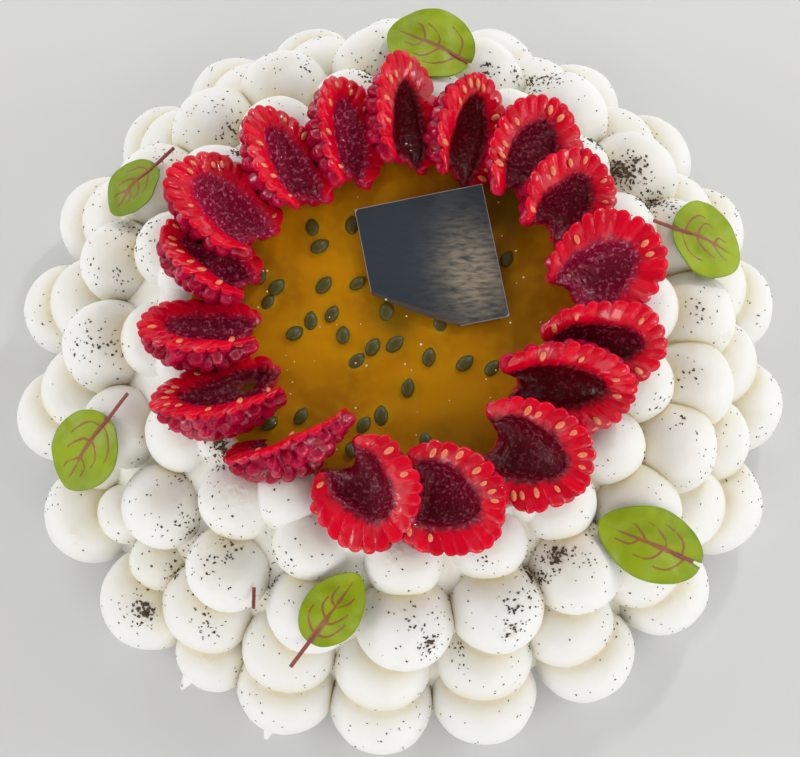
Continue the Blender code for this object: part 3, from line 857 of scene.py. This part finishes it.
def raspberry_mesh(name, berry, draw):
    out, inside, rim_centres, tone, edge = berry_surfaces(berry, draw)
    shift = draw.uniform(0, 50, 3)
    left, left_edge = cut_face(out, inside, 0, edge, shift)
    right, right_edge = cut_face(out, inside, -1, edge, shift)
    right[-1] = left[-1]
    across = np.linspace(0, 1, BERRY_DEPTHS + 1)
    mouth = out[0][:, None] + (inside[0] - out[0])[:, None] * across[None, :, None]
    mouth[..., 0] -= ARM_END * np.sqrt(np.clip(1 - (2 * across - 1) ** 2, 0, 1))[None]
    mouth[0], mouth[-1] = left[0], right[0]
    # Each surface, with what its material reads: cut, depth, cell and tone.
    surfaces = (
        (out, 0.0, 0.0, edge, tone),
        (inside, 0.0, 1.0, 2.0, tone),
        (left, 1.0, across, left_edge, tone[:, :1]),
        (right, 1.0, across, right_edge, tone[:, -1:]),
        (mouth, 0.4, across, edge[0][:, None], tone[0][:, None]),
    )
    points = np.concatenate([surface[0].reshape(-1, 3) for surface in surfaces])

    index_out = numbered(out.shape[:2], 0)
    index_in = numbered(inside.shape[:2], index_out.size)
    index_left = numbered(left.shape[:2], index_out.size * 2)
    index_right = index_left + index_left.size
    index_mouth = numbered(mouth.shape[:2], index_out.size * 2 + index_left.size * 2)
    rim = index_out[:, (0, -1)].ravel()
    index_out[-1] = index_out[-1, 0]
    index_in[-1] = index_in[-1, 0]
    for index, column in ((index_left, 0), (index_right, -1)):
        index[:, 0] = index_out[:, column]
        index[:, -1] = index_in[:, column]
    index_right[-1] = index_left[-1]
    index_mouth[:, 0] = index_out[0]
    index_mouth[:, -1] = index_in[0]
    index_mouth[0] = index_left[0]
    index_mouth[-1] = index_right[0]
    faces = []
    for index in (index_out, index_in, index_left, index_right, index_mouth):
        faces += grid_faces(index)

    used, faces = without_loose(faces)
    mesh = mesh_of(name, into_place(berry, points[used]), faces)
    remember(mesh, "fuzzy", np.full(len(used), berry["fuzzy"]))
    for column, key in enumerate(("cut", "depth", "cell", "tone"), start=1):
        marks = [np.broadcast_to(surface[column], surface[0].shape[:2]).ravel() for surface in surfaces]
        marks = np.concatenate(marks)
        if key == "cut":
            marks[rim] = 1.0
        remember(mesh, key, marks[used])
    turned_outwards(mesh)
    return mesh, cut_seeds(out, inside, rim_centres, draw)


def cut_seeds(out, inside, rim_centres, draw):
    """Places, facings and lengths of the seeds that show in the cut cells."""
    rim = np.concatenate((out[:, 0], out[::-1, -1]))
    inner = np.concatenate((inside[:, 0], inside[::-1, -1]))
    kept = []
    for centre in rim_centres:
        if draw.uniform() > SEEDED_CELLS:
            continue
        near = np.argmin(np.linalg.norm(rim - centre, axis=1))
        along = inner[near] - rim[near]
        place = rim[near] + along * draw.uniform(0.36, 0.6)
        along /= np.linalg.norm(along)
        along[1] += draw.uniform(-0.2, 0.2)
        tilt = np.array([draw.uniform(-0.2, 0.2), draw.uniform(-0.2, 0.2), 1.0])
        place[2] = CUT_BULGE * draw.uniform(0.55, 0.9)
        kept.append((place, tilt, along, draw.uniform(0.75, 1.1)))
    return kept


def berry_bulk(berry):
    """The half berry without its hollow, to press into its neighbour."""
    grid = shell(berry["length"] + 0.6, berry["width"] / 2 + 0.35, 1.0, berry_width, 16, 12)
    lid = grid[:, (0, -1)].copy()
    lid[..., 2] = 0.3
    points = into_place(berry, np.concatenate((grid.reshape(-1, 3), lid.reshape(-1, 3))))
    bm = bmesh.new()
    for point in points:
        bm.verts.new(point * MM)
    bmesh.ops.remove_doubles(bm, verts=bm.verts, dist=WELD)
    bmesh.ops.convex_hull(bm, input=bm.verts)
    bmesh.ops.delete(bm, geom=[vert for vert in bm.verts if not vert.link_faces], context="VERTS")
    bmesh.ops.recalc_face_normals(bm, faces=bm.faces)
    return linked("bulk", closed(bm, "bulk"))


def seat(level):
    """What lies under the berries: the jelly's top, and the level of the dollops' tops."""
    steps = ((JELLY_RADIUS, DOLLOP_TOPS), (JELLY_RADIUS, level), (0, level))
    return turned("seat", ((0, 40), (140, 40), (140, DOLLOP_TOPS), *steps), 48)


def raspberries():
    berries = [dict(zip(BERRY_COLUMNS, row), fuzzy=fuzzy) for row, fuzzy in zip(BERRIES, FUZZY_HOLLOWS)]
    for index, berry in enumerate(berries):
        berry["lip"] = DEEP_LIPS.get(index, LIP_BACK)
    flesh, seed = raspberry_finish(), raspberry_seed_finish()
    sown = []
    for index, berry in enumerate(berries):
        upper = berries[(index + 1) % len(berries)]
        draw = np.random.default_rng(SEED + 10 + index)
        name = f"raspberry_half_{index + 1:02d}"
        mesh, seeds = raspberry_mesh(name, berry, draw)
        obj = linked(name, mesh)
        boolean(obj, "DIFFERENCE", berry_bulk(upper))
        boolean(obj, "DIFFERENCE", seat(DEEP_SEAT if index in DEEP_LIPS else SEAT))
        keep_largest(obj.data)
        obj.data.shade_smooth()
        obj.data.set_sharp_from_angle(angle=math.radians(70))
        dressed(obj, "raspberry", flesh, replaces=(f"raspberry_{index + 1:02d}",))
        axes = berry_frame(berry)[1]
        for place, up, along, size in seeds:
            place = into_place(berry, place)
            if place[2] >= JELLY_TOP and not inside_berry(upper, place):
                sown.append((place, up @ axes, along @ axes, size))
    half = (SEED_LENGTH / 2, SEED_WIDTH / 2, SEED_THICKNESS / 2)
    grain = grain_object("raspberry_seed", half, taper=0.3)
    dressed(placed_grains("raspberry_seeds", grain, *zip(*sown), seed), "raspberry")


def keep_largest(mesh):
    """Drops the scraps that a cut has left beside the piece."""
    bm = opened(mesh)
    left, parts = set(bm.verts), []
    while left:
        part, edge = set(), [left.pop()]
        while edge:
            vert = edge.pop()
            part.add(vert)
            near = {other.other_vert(vert) for other in vert.link_edges} & left
            left -= near
            edge.extend(near)
        parts.append(part)
    largest = max(parts, key=len)
    bmesh.ops.delete(bm, geom=[vert for vert in bm.verts if vert not in largest], context="VERTS")
    closed(bm, mesh)


def inside_berry(berry, place):
    """Whether a point lies within a neighbour's half shell."""
    centre, axes = berry_frame(berry)
    along, side, face = axes @ (place - centre)
    share = along / berry["length"] + 0.5
    if not 0 < share < 1 or face > 0.4:
        return False
    return math.hypot(side, face) < berry["width"] / 2 * float(berry_width(np.array(share))) + 0.4


def disc(name, radius, foot, rings, sides, level):
    """A closed round slab; level says how high its top is at a place."""
    points = []
    for reach in radius * np.linspace(0, 1, rings + 1):
        for step in range(sides):
            place = at(360 * step / sides, reach, 0)
            points.append((place.x, place.y, level(place)))
    for step in range(sides):
        points.append(tuple(at(360 * step / sides, radius, foot)))
    middle = len(points)
    points.append((0, 0, foot))
    index = numbered((rings + 2, sides), 0)
    index[0] = 0
    index = np.concatenate((index, np.full((1, sides), middle)))
    index = np.concatenate((index, index[:, :1]), axis=1)
    used, faces = without_loose(grid_faces(index))
    mesh = mesh_of(name, np.array(points)[used], faces)
    turned_outwards(mesh, smooth_below=50)
    return mesh


def jelly_level(place):
    """Height of the jelly's top: gentle ripples, and a rounded edge."""
    ripple = 0.16 * noise.noise(place / 13.0) + 0.05 * noise.noise(place / 4.0)
    past = max(0.0, (place.length - JELLY_RADIUS) / JELLY_EDGE + 1)
    return JELLY_TOP + ripple - JELLY_EDGE * past**2


def jelly():
    """The clear top of the jelly."""
    return linked("jelly_top", disc("jelly_top", JELLY_RADIUS, JELLY_FLOOR, 60, 200, jelly_level))


def passion_seeds():
    """Places, facings, directions and sizes of the passion fruit seeds."""
    draw = np.random.default_rng(SEED + 3)
    places, ups, longs, sizes = [], [], [], []
    for x, y, depth in PASSION_SEEDS:
        places.append(tuple(on_level(x, y, PULP_TOP + 0.5 - 0.9 * depth)))
        turn = draw.uniform(0.5, 1.8)
        ups.append((draw.uniform(-0.3, 0.3), draw.uniform(-0.3, 0.3), 1.0))
        longs.append((math.cos(turn), math.sin(turn), draw.uniform(-0.2, 0.2)))
        sizes.append(draw.uniform(0.9, 1.05))
    return np.array(places), ups, longs, sizes


def pulp_level(place):
    return PULP_TOP + 0.25 * noise.noise(place / 6.0)


def pulp(seed_places):
    """The cloudy pulp that the seeds lie in, lighter yellow round each seed."""
    mesh = disc("pulp", PULP_RADIUS, JELLY_FLOOR + 0.2, 110, 300, pulp_level)
    places = points_of(mesh)
    away = np.linalg.norm(places[:, None, :2] - seed_places[None, :, :2], axis=2).min(axis=1)
    remember(mesh, "halo", np.exp(-((away / 3.4) ** 2)))
    # Darker patches, partly murky pulp and partly painted shadow beside the card and the berries.
    murk_and_shade = np.zeros(len(places))
    for x, y, spread, weight in MURKY_AND_SHADED_PATCHES:
        middle = np.array(on_level(x, y, PULP_TOP))
        murk_and_shade += weight * np.exp(-np.sum((places - middle)[:, :2] ** 2, axis=1) / (2 * spread**2))
    remember(mesh, "murk_and_shade", np.clip(murk_and_shade, 0, 1))
    return linked("pulp", mesh)


def bubbles():
    """Tiny pale bubbles on the jelly: their pale colour is a painted highlight, and their coat catches the
    lamps.
    """
    draw = np.random.default_rng(SEED + 5)
    places, sizes = [], []
    for _ in range(BUBBLE_COUNT):
        direction, distance = draw.uniform(0, math.tau), BUBBLE_REACH * math.sqrt(draw.uniform())
        places.append(at(math.degrees(direction), distance, JELLY_TOP))
        sizes.append(draw.uniform(0.4, 1.0))
    grain = grain_object("bubble", (0.3, 0.3, 0.22))
    ups, longs = [(0, 0, 1)] * BUBBLE_COUNT, [(1, 0, 0)] * BUBBLE_COUNT
    return placed_grains("bubbles", grain, places, ups, longs, sizes, highlight_bubble_finish())


def blade_width(along):
    """Half the width of a blade, as a share of its widest, from its base to its tip."""
    return math.sin(math.pi * along**0.82) ** 0.55 if 0 < along < 1 else 0.0


def leaf_axes(leaf):
    """Directions along and across a leaf and out of its face, before it is set down."""
    along = at(leaf["heading"], 1, 0)
    middle = at(leaf["at"], leaf["distance"], 0) + along * (leaf["stalk"] + leaf["blade"] / 2)
    outwards = middle.normalized()
    slope = math.radians(leaf["slope"])
    normal = math.cos(slope) * Vector((0, 0, 1)) + math.sin(slope) * outwards
    along = (along - normal * along.dot(normal)).normalized()
    return along, normal.cross(along), normal


def leaf_point(leaf, place, side):
    """A point of the leaf's middle surface, before it is set down."""
    along, across, normal = leaf_axes(leaf)
    blade = max(0.0, place - leaf["stalk"]) / leaf["blade"]
    wave = LEAF_WAVE * math.sin(5 * blade + side / 4) * min(1, 3 * blade)
    rise = LEAF_FOLD * abs(side) + wave - LEAF_DROOP * place**2
    return at(leaf["at"], leaf["distance"], leaf["height"]) + along * place + across * side + normal * rise


def leaf_lift(leaf, balls):
    """How far along its normal the leaf moves until it all but touches the cream."""
    normal = leaf_axes(leaf)[2]
    points = [leaf_point(leaf, place, 0) for place in (0.0, leaf["stalk"])]
    for station in range(1, 8):
        share = station / 7.4
        half = max(leaf["width"] / 2 * blade_width(share), STALK_RADIUS)
        place = leaf["stalk"] + leaf["blade"] * share
        points += [leaf_point(leaf, place, half * (step / 2 - 1)) for step in range(5)]
    lift = LEAF_DROP_FROM
    for _ in range(int(2 * LEAF_DROP_FROM / LEAF_STEP_DOWN)):
        moved = [point + normal * lift for point in points]
        gap = min((point - centre).length - radius for point in moved for centre, radius in balls)
        if gap < LEAF_CLEARANCE:
            break
        lift -= LEAF_STEP_DOWN
    return normal * lift


def tube(points, radii, flatten, normal, sides=8):
    """Points and faces of a closed tapering tube along a line, pressed flat along a normal."""
    rings = []
    for number, (point, radius) in enumerate(zip(points, radii)):
        before, after = points[max(0, number - 1)], points[min(len(points) - 1, number + 1)]
        along = (after - before).normalized()
        across = normal.cross(along).normalized()
        above = along.cross(across)
        for side in range(sides):
            turn = math.tau * side / sides
            rings.append(point + across * radius * math.cos(turn) + above * radius * flatten * math.sin(turn))
    index = numbered((len(points), sides), 0)
    index = np.concatenate((index, index[:, :1]), axis=1)
    faces = grid_faces(index)
    faces.append(list(range(sides - 1, -1, -1)))
    faces.append(list(range(len(rings) - sides, len(rings))))
    return rings, faces


def vein_lines(leaf, draw):
    """The midrib and its side veins as places along and across the leaf, each with its width."""
    stalk, blade, half = leaf["stalk"], leaf["blade"], leaf["width"] / 2
    step = np.linspace(0, 1, 40)
    lines = [np.stack((stalk + 0.88 * blade * step, 0 * step, 0.15 + 0.62 * (1 - step**1.8)), axis=1)]
    for number, share in enumerate(VEIN_SHARES):
        for hand in (-1, 1):
            start = share + draw.uniform(0, 0.07)
            wide = half * (0.62 - 0.16 * number) * draw.uniform(0.85, 1.1)
            reach = blade * (0.30 - 0.05 * number) * draw.uniform(0.85, 1.1)
            along = stalk + blade * start + reach * step**1.7
            across = hand * wide * np.sin(np.pi / 2 * step) ** 0.9
            across += 0.25 * np.sin(6 * step + number + 3 * hand)
            lines.append(np.stack((along, across, 0.36 * (1 - 0.45 * step)), axis=1))
    return np.concatenate(lines)


def leaf_piece(number, leaf, balls, blade_look, vein_look):
    normal = leaf_axes(leaf)[2]
    lift = leaf_lift(leaf, balls)
    points, spread, edges = [], [], []
    for station in range(LEAF_STATIONS + 1):
        share = min(0.9995, max(0.0005, station / LEAF_STATIONS))
        half = leaf["width"] / 2 * blade_width(share)
        for step in range(LEAF_STEPS + 1):
            share_across = 2 * step / LEAF_STEPS - 1
            side = half * share_across
            lobe = LEAF_LOBES[number - 1] * abs(share_across) ** 1.6 * max(0.0, 1 - share / 0.45) ** 2
            place = leaf["stalk"] + leaf["blade"] * share - lobe
            puff = LEAF_PUFF * noise.noise(Vector((place, side, number * 9)) / 3.4)
            points.append(leaf_point(leaf, place, side) + lift + normal * puff)
            spread.append((place, side))
            edges.append(min(half - abs(side), leaf["blade"] * min(share, 1 - share)))
    index = numbered((LEAF_STATIONS + 1, LEAF_STEPS + 1), 0)
    mesh = mesh_of(f"leaf_blade_{number}", points, grid_faces(index))
    veins = vein_lines(leaf, random.Random(SEED + number))
    away = np.linalg.norm(np.array(spread)[:, None] - veins[None, :, :2], axis=2)
    remember(mesh, "vein", np.exp(-((away / veins[None, :, 2]) ** 2)).max(axis=1))
    remember(mesh, "edge", np.array(edges))
    remember(mesh, "shade", np.full(len(points), LEAF_SHADES[number - 1]))
    blade = linked(f"leaf_blade_{number}", mesh)
    thickness = blade.modifiers.new("Thickness", "SOLIDIFY")
    thickness.thickness = LEAF_THICKNESS * MM
    thickness.offset = 0.0
    blade.data = evaluated_mesh(blade)
    blade.modifiers.clear()
    turned_outwards(blade.data)
    blade.data.materials.append(blade_look)
    end = leaf["stalk"] + 0.45 * leaf["blade"]
    places = np.linspace(0, end, 30)
    path = [leaf_point(leaf, place, 0) + lift + normal * 0.05 for place in places]
    radii = STALK_RADIUS * np.minimum(1.0, 1.15 * (end - places) / (end - leaf["stalk"]))
    rings, faces = tube(path, np.maximum(0.06, radii), 0.8, normal)
    rib = mesh_of("midrib", rings, faces)
    turned_outwards(rib, smooth_below=60)
    rib.materials.append(vein_look)
    return joined(f"leaf_{number}_dressed", blade, linked("midrib", rib))


def joined(name, first, second):
    """One object of two, each with its own material."""
    bm = bmesh.new()
    for number, obj in enumerate((first, second)):
        before = len(bm.faces)
        bm.from_mesh(obj.data)
        bm.faces.ensure_lookup_table()
        for face in bm.faces[before:]:
            face.material_index = number
    mesh = closed(bm, name)
    for obj in (first, second):
        mesh.materials.append(obj.data.materials[0])
        bpy.data.objects.remove(obj, do_unlink=True)
    return linked(name, mesh)


def leaves(balls):
    blade_look, vein_look = leaf_finish(), vein_finish()
    for number, row in enumerate(LEAVES, start=1):
        leaf = dict(zip(LEAF_COLUMNS, row))
        piece = leaf_piece(number, leaf, balls, blade_look, vein_look)
        dressed(piece, "leaf", replaces=(f"leaf_{number}",))


def stalk_scrap():
    """The scrap of stalk lying on the cream, where the model has it."""
    low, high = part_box("stalk_scrap")
    middle = (low + high) / (2 * MM)
    along = at(SCRAP_HEADING, 1, -0.35).normalized()
    path = [middle + along * SCRAP_LENGTH * share for share in np.linspace(-0.5, 0.5, 7)]
    rings, faces = tube(path, [SCRAP_RADIUS] * 7, 0.8, Vector((0, 0, 1)), sides=10)
    mesh = mesh_of("stalk_piece", rings, faces)
    turned_outwards(mesh, smooth_below=60)
    return linked("stalk_piece", mesh)


def card():
    """The dark card: a thin plate, curled a little, with its low corner under the jelly."""
    width, height, thick = CARD_SIZE
    placed = Matrix.Translation(CARD_CENTRE)
    for angle, axis in CARD_TURNS:
        placed = placed @ Matrix.Rotation(math.radians(angle), 4, axis)
    share = np.linspace(-0.5, 0.5, CARD_STEPS + 1)
    points = []
    for level in (-0.5, 0.5):
        for y in share:
            for x in share:
                sunk = max(0.0, CARD_BEND[0] * x + CARD_BEND[1] * y - CARD_BEND[2])
                curl = 0.9 * (x * y) - 0.8 * x**2 - CARD_DROOP * sunk**1.5
                points.append(placed @ Vector((x * width, y * height, level * thick * 0.7 + curl)))
    lower = numbered((CARD_STEPS + 1, CARD_STEPS + 1), 0)
    upper = lower + lower.size
    faces = grid_faces(lower) + grid_faces(upper)
    for end in (0, -1):
        faces += grid_faces(np.stack((lower[end], upper[end])))
        faces += grid_faces(np.stack((lower[:, end], upper[:, end])))
    mesh = mesh_of("card_piece", points, faces)
    turned_outwards(mesh, smooth_below=40)
    rim = 2 * np.maximum(np.abs(share)[:, None], np.abs(share)[None])
    # How strongly the painted warm reflection reaches each point of the card.
    away = np.hypot((share[None] - CARD_SHEEN[0]) / 0.24, (share[:, None] - CARD_SHEEN[1]) / 0.34)
    remember(mesh, "rim", np.tile(rim.ravel(), 2))
    remember(mesh, "sheen", np.tile(np.exp(-(away**2)).ravel(), 2))
    obj = linked("card_piece", mesh)
    surface = JELLY_TOP - 0.25
    profile = ((0, 50), (JELLY_RADIUS, 50), (JELLY_RADIUS, surface), (0, surface))
    boolean(obj, "DIFFERENCE", turned("jelly_below", profile, 64))
    return obj


def two_tone(name, size, one, other, sockets):
    """A finish that drifts between two colours, in lumps about a size across."""
    look = Finish(name)
    return look.surface({"Base Color": look.mix(look.noise(size), one, other), **sockets})


def cream_finish():
    look = Finish("whipped_cream")
    crease_shade, torn = look.attribute("crease_shade"), look.attribute("ragged")
    tint = look.mix(look.noise(14.0), (0.87, 0.865, 0.84), (0.90, 0.90, 0.89))
    # Painted shade: upward-facing cream turns a greyer beige, as under a weak light from above.
    tint = look.mix(look.attribute("upwards") * look.noise(9.0).between(0.3, 0.6), tint, (0.80, 0.775, 0.70))
    # Painted shade: creases between dollops turn a darker yellow-beige, more so where they face up.
    tint = look.mix(crease_shade * (0.5 + 0.5 * look.attribute("upwards")), tint, (0.68, 0.58, 0.32))
    pits = look.noise(0.8, detail=3.0)
    tint = look.mix(torn * pits.between(0.5, 0.62) * 0.4, tint, (0.72, 0.64, 0.42))
    dust = look.attribute("dust").between(0.05, 0.9) * look.noise(0.6, detail=3.0).between(0.38, 0.6)
    tint = look.mix(dust * 0.6, tint, (0.46, 0.38, 0.26))
    swirls = look.noise(3.4, detail=1.0)
    normal = look.bump(pits * (0.5 + torn * 4.0) + swirls, 0.25, 0.5)
    return look.surface({
        "Base Color": tint, "Roughness": 0.46, "Normal": normal,
        "Subsurface Weight": 0.1, "Subsurface Radius": (0.003, 0.003, 0.0025), "Subsurface Scale": 1.0,
        "IOR": 1.4,
    })


def speck_finish():
    return two_tone("dark_specks", 0.8, (0.010, 0.006, 0.003), (0.13, 0.080, 0.032), {"Roughness": 0.7})


def raspberry_finish():
    look = Finish("raspberry_flesh")
    cut, cell, fuzzy = look.attribute("cut"), look.attribute("cell"), look.attribute("fuzzy")
    tone, depth = look.attribute("tone"), look.attribute("depth")
    streak = look.noise(0.7, detail=3.0)
    skin = look.mix(tone, (0.30, 0.001, 0.024), (0.52, 0.004, 0.055))
    # Painted shade: the skin darkens where drupelets meet, in the grooves between them.
    skin = look.mix(1 - cell.between(0.0, 0.6), skin, (0.15, 0.0, 0.014))
    flesh = look.mix(tone * 0.5 + look.noise(2.4) * 0.5, (0.48, 0.0, 0.015), (0.86, 0.002, 0.024))
    near_rim = 1 - depth.between(0.45, 0.85)
    membrane = (1 - cell.between(0.02, 0.22)) * streak.between(0.40, 0.62) * near_rim
    flesh = look.mix(membrane * 0.6, flesh, (0.80, 0.16, 0.22))
    fleck = look.noise(0.45, detail=2.0).between(0.55, 0.66)
    # The hollow: its dark colour where smooth is painted shade of its depth; the pink flecks of fuzzy hollows
    # are its own colour.
    inner = look.mix(fuzzy, (0.10, 0.0, 0.003), (0.34, 0.004, 0.045))
    inner = look.mix(fleck * (0.15 + 0.85 * fuzzy), inner, (0.66, 0.15, 0.26))
    colour = look.mix(cut, skin, flesh)
    hollow = (depth + (streak - 0.5) * 0.5).between(0.66, 0.98)
    colour = look.mix(hollow, colour, inner)
    roughness = 0.15 + 0.25 * hollow
    normal = look.bump(look.noise(0.8, detail=3.0), 0.3, 0.6)
    wet = look.noise(2.6).between(0.52, 0.60)
    return look.surface({
        "Base Color": colour, "Roughness": roughness, "Normal": normal, "IOR": 1.25,
        "Coat Weight": wet * (0.9 - 0.5 * hollow), "Coat Roughness": 0.06,
        "Subsurface Weight": 0.15, "Subsurface Radius": (0.004, 0.0004, 0.0004), "Subsurface Scale": 1.0,
    })


def raspberry_seed_finish():
    sockets = {"Roughness": 0.35, "Coat Weight": 0.4}
    return two_tone("raspberry_seed", 0.8, (0.74, 0.10, 0.03), (0.80, 0.32, 0.13), sockets)


def jelly_finish():
    look = Finish("clear_jelly")
    colour = look.mix(look.noise(9.0), (0.48, 0.20, 0.0), (0.58, 0.27, 0.0))
    normal = look.bump(look.noise(3.0, detail=1.0), 0.15, 0.4)
    return look.surface({
        "Base Color": colour, "Roughness": 0.05, "IOR": 1.45, "Alpha": 0.09, "Normal": normal,
    })


def pulp_finish():
    look = Finish("passion_pulp")
    halo, murk_and_shade = look.attribute("halo"), look.attribute("murk_and_shade")
    colour = look.mix(look.noise(9.0).between(0.35, 0.65), (0.40, 0.145, 0.0), (0.60, 0.245, 0.0))
    colour = look.mix(look.noise(1.4, detail=3.0).between(0.4, 0.7) * 0.3, colour, (0.66, 0.33, 0.0))
    colour = look.mix(halo.between(0.35, 1.0) * look.noise(2.0).between(0.3, 0.55), colour, (0.58, 0.36, 0.0))
    # Darker patches: partly murky pulp, partly painted shadow beside the card and the berries.
    colour = look.mix(murk_and_shade, colour, (0.13, 0.075, 0.0))
    return look.surface({"Base Color": colour, "Roughness": 0.4, "IOR": 1.2})


def passion_seed_finish():
    return two_tone("passion_seed", 1.2, (0.008, 0.024, 0.003), (0.035, 0.075, 0.010), {"Roughness": 0.4})


def highlight_bubble_finish():
    # The bubbles' pale colour is a painted highlight, the glints on the jelly.
    sockets = {"Roughness": 0.08, "Coat Weight": 1.0}
    return two_tone("bubble", 1.0, (0.75, 0.6, 0.3), (0.95, 0.9, 0.75), sockets)


def leaf_finish():
    look = Finish("leaf_blade")
    colour = look.mix(look.noise(5.0).between(0.35, 0.65), (0.26, 0.34, 0.001), (0.36, 0.45, 0.008))
    colour = look.mix(look.noise(3.2, detail=3.0).between(0.52, 0.72) * 0.6, colour, (0.37, 0.48, 0.06))
    colour = look.mix(look.noise(1.6, detail=2.0).between(0.6, 0.78) * 0.35, colour, (0.20, 0.29, 0.01))
    colour = look.mix((1 - look.attribute("edge").between(0.0, 0.7)) * 0.5, colour, (0.20, 0.30, 0.03))
    colour = look.mix(look.attribute("shade"), colour, (0.07, 0.14, 0.004))
    vein = look.attribute("vein") - look.noise(1.3, detail=2.0).between(0.45, 0.75) * 0.45
    colour = look.mix(vein.between(0.15, 0.6) * 0.85, colour, (0.31, 0.085, 0.05))
    normal = look.bump(look.noise(0.9, detail=2.0) - vein.between(0.1, 0.6) * 0.5, 0.2, 0.5)
    return look.surface({
        "Base Color": colour, "Roughness": 0.38, "IOR": 1.35, "Normal": normal, "Subsurface Weight": 0.08,
        "Subsurface Radius": (0.001, 0.002, 0.0005), "Subsurface Scale": 1.0,
    })


def vein_finish():
    return two_tone("leaf_vein", 2.0, (0.17, 0.016, 0.022), (0.36, 0.075, 0.05), {"Roughness": 0.4})


def card_finish():
    look = Finish("laminated_card")
    brushed = look.noise(0.5, detail=4.0, stretch=(0.35, 1.3, 1))
    colour = look.mix(brushed, (0.028, 0.038, 0.050), (0.038, 0.049, 0.062))
    # Painted reflection: a warm brushed sheen over part of the card.
    shine = look.attribute("sheen") * brushed.between(0.15, 0.8)
    colour = look.mix(shine, colour, (0.44, 0.36, 0.25))
    colour = look.mix(look.attribute("rim").between(0.985, 1.0), colour, (0.34, 0.34, 0.33))
    return look.surface({"Base Color": colour, "Roughness": 0.35, "IOR": 1.4})


def floor():
    corners = [(-FLOOR_REACH, -FLOOR_REACH, 0), (FLOOR_REACH, -FLOOR_REACH, 0)]
    corners += [(FLOOR_REACH, FLOOR_REACH, 0), (-FLOOR_REACH, FLOOR_REACH, 0)]
    obj = linked("floor", mesh_of("floor", corners, [[0, 1, 2, 3]]))
    pale = two_tone("pale_floor", 300.0, (0.72, 0.72, 0.71), (0.75, 0.75, 0.74), {"Roughness": 0.9})
    obj.data.materials.append(pale)


def area_light(name, place, size, power):
    data = bpy.data.lights.new(name, "AREA")
    data.shape = "DISK"
    data.size = size
    data.energy = power
    obj = bpy.data.objects.new(name, data)
    obj.location = place
    obj.rotation_euler = place.to_track_quat("Z", "Y").to_euler()
    bpy.context.scene.collection.objects.link(obj)


def room():
    """Soft light from every side of the room, and little from its ceiling."""
    world = bpy.data.worlds.new("soft_room")
    world.use_nodes = True
    world.node_tree.nodes.clear()
    graph = Graph(world.node_tree)
    way = graph.node("ShaderNodeTexCoord", output="Generated")
    height = graph.node("ShaderNodeSeparateXYZ", {}, {0: way}, output="Z")
    light = ROOM_LIGHT - (ROOM_LIGHT - CEILING_LIGHT) * height.between(*CEILING_FADE)
    sky = graph.node("ShaderNodeBackground", {}, {"Color": (1.0, 0.995, 0.985, 1.0), "Strength": light})
    graph.node("ShaderNodeOutputWorld", {}, {"Surface": sky})
    bpy.context.scene.world = world


def lights():
    room()
    for name, direction, elevation, size, power in LAMPS:
        place = at(direction, math.cos(math.radians(elevation)), math.sin(math.radians(elevation)))
        area_light(name, place * LAMP_DISTANCE, size, power)


def camera():
    data = bpy.data.cameras.new("camera")
    data.sensor_width = SENSOR_WIDTH
    data.lens = FOCAL_PIXELS * SENSOR_WIDTH / PHOTO_WIDTH
    obj = bpy.data.objects.new("camera", data)
    start, way = under_camera(PHOTO_WIDTH / 2, PHOTO_HEIGHT / 2)
    obj.location = start * MM
    obj.rotation_euler = (-way).to_track_quat("Z", "Y").to_euler()
    bpy.context.scene.collection.objects.link(obj)
    bpy.context.scene.camera = obj
    bpy.context.scene.view_settings.view_transform = "Standard"


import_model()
camera()
lights()
floor()
balls = dollops()
wall = cream_wall(balls)
strewn = specks(wall)
dressed(wall, "cream", cream_finish(), replaces=("cream",))
dressed(strewn, "cream")
dressed(jelly(), "jelly", jelly_finish(), replaces=("jelly",))
seeds = passion_seeds()
dressed(pulp(seeds[0]), "jelly", pulp_finish())
passion_grain = grain_object("passion_grain", PASSION_SEED, subdivisions=3, taper=0.35)
dressed(placed_grains("passion_seeds", passion_grain, *seeds, passion_seed_finish()), "jelly")
dressed(bubbles(), "jelly")
raspberries()
leaves(balls)
dressed(stalk_scrap(), "stalk", vein_finish(), replaces=("stalk_scrap",))
dressed(card(), "card", card_finish(), replaces=("card",))
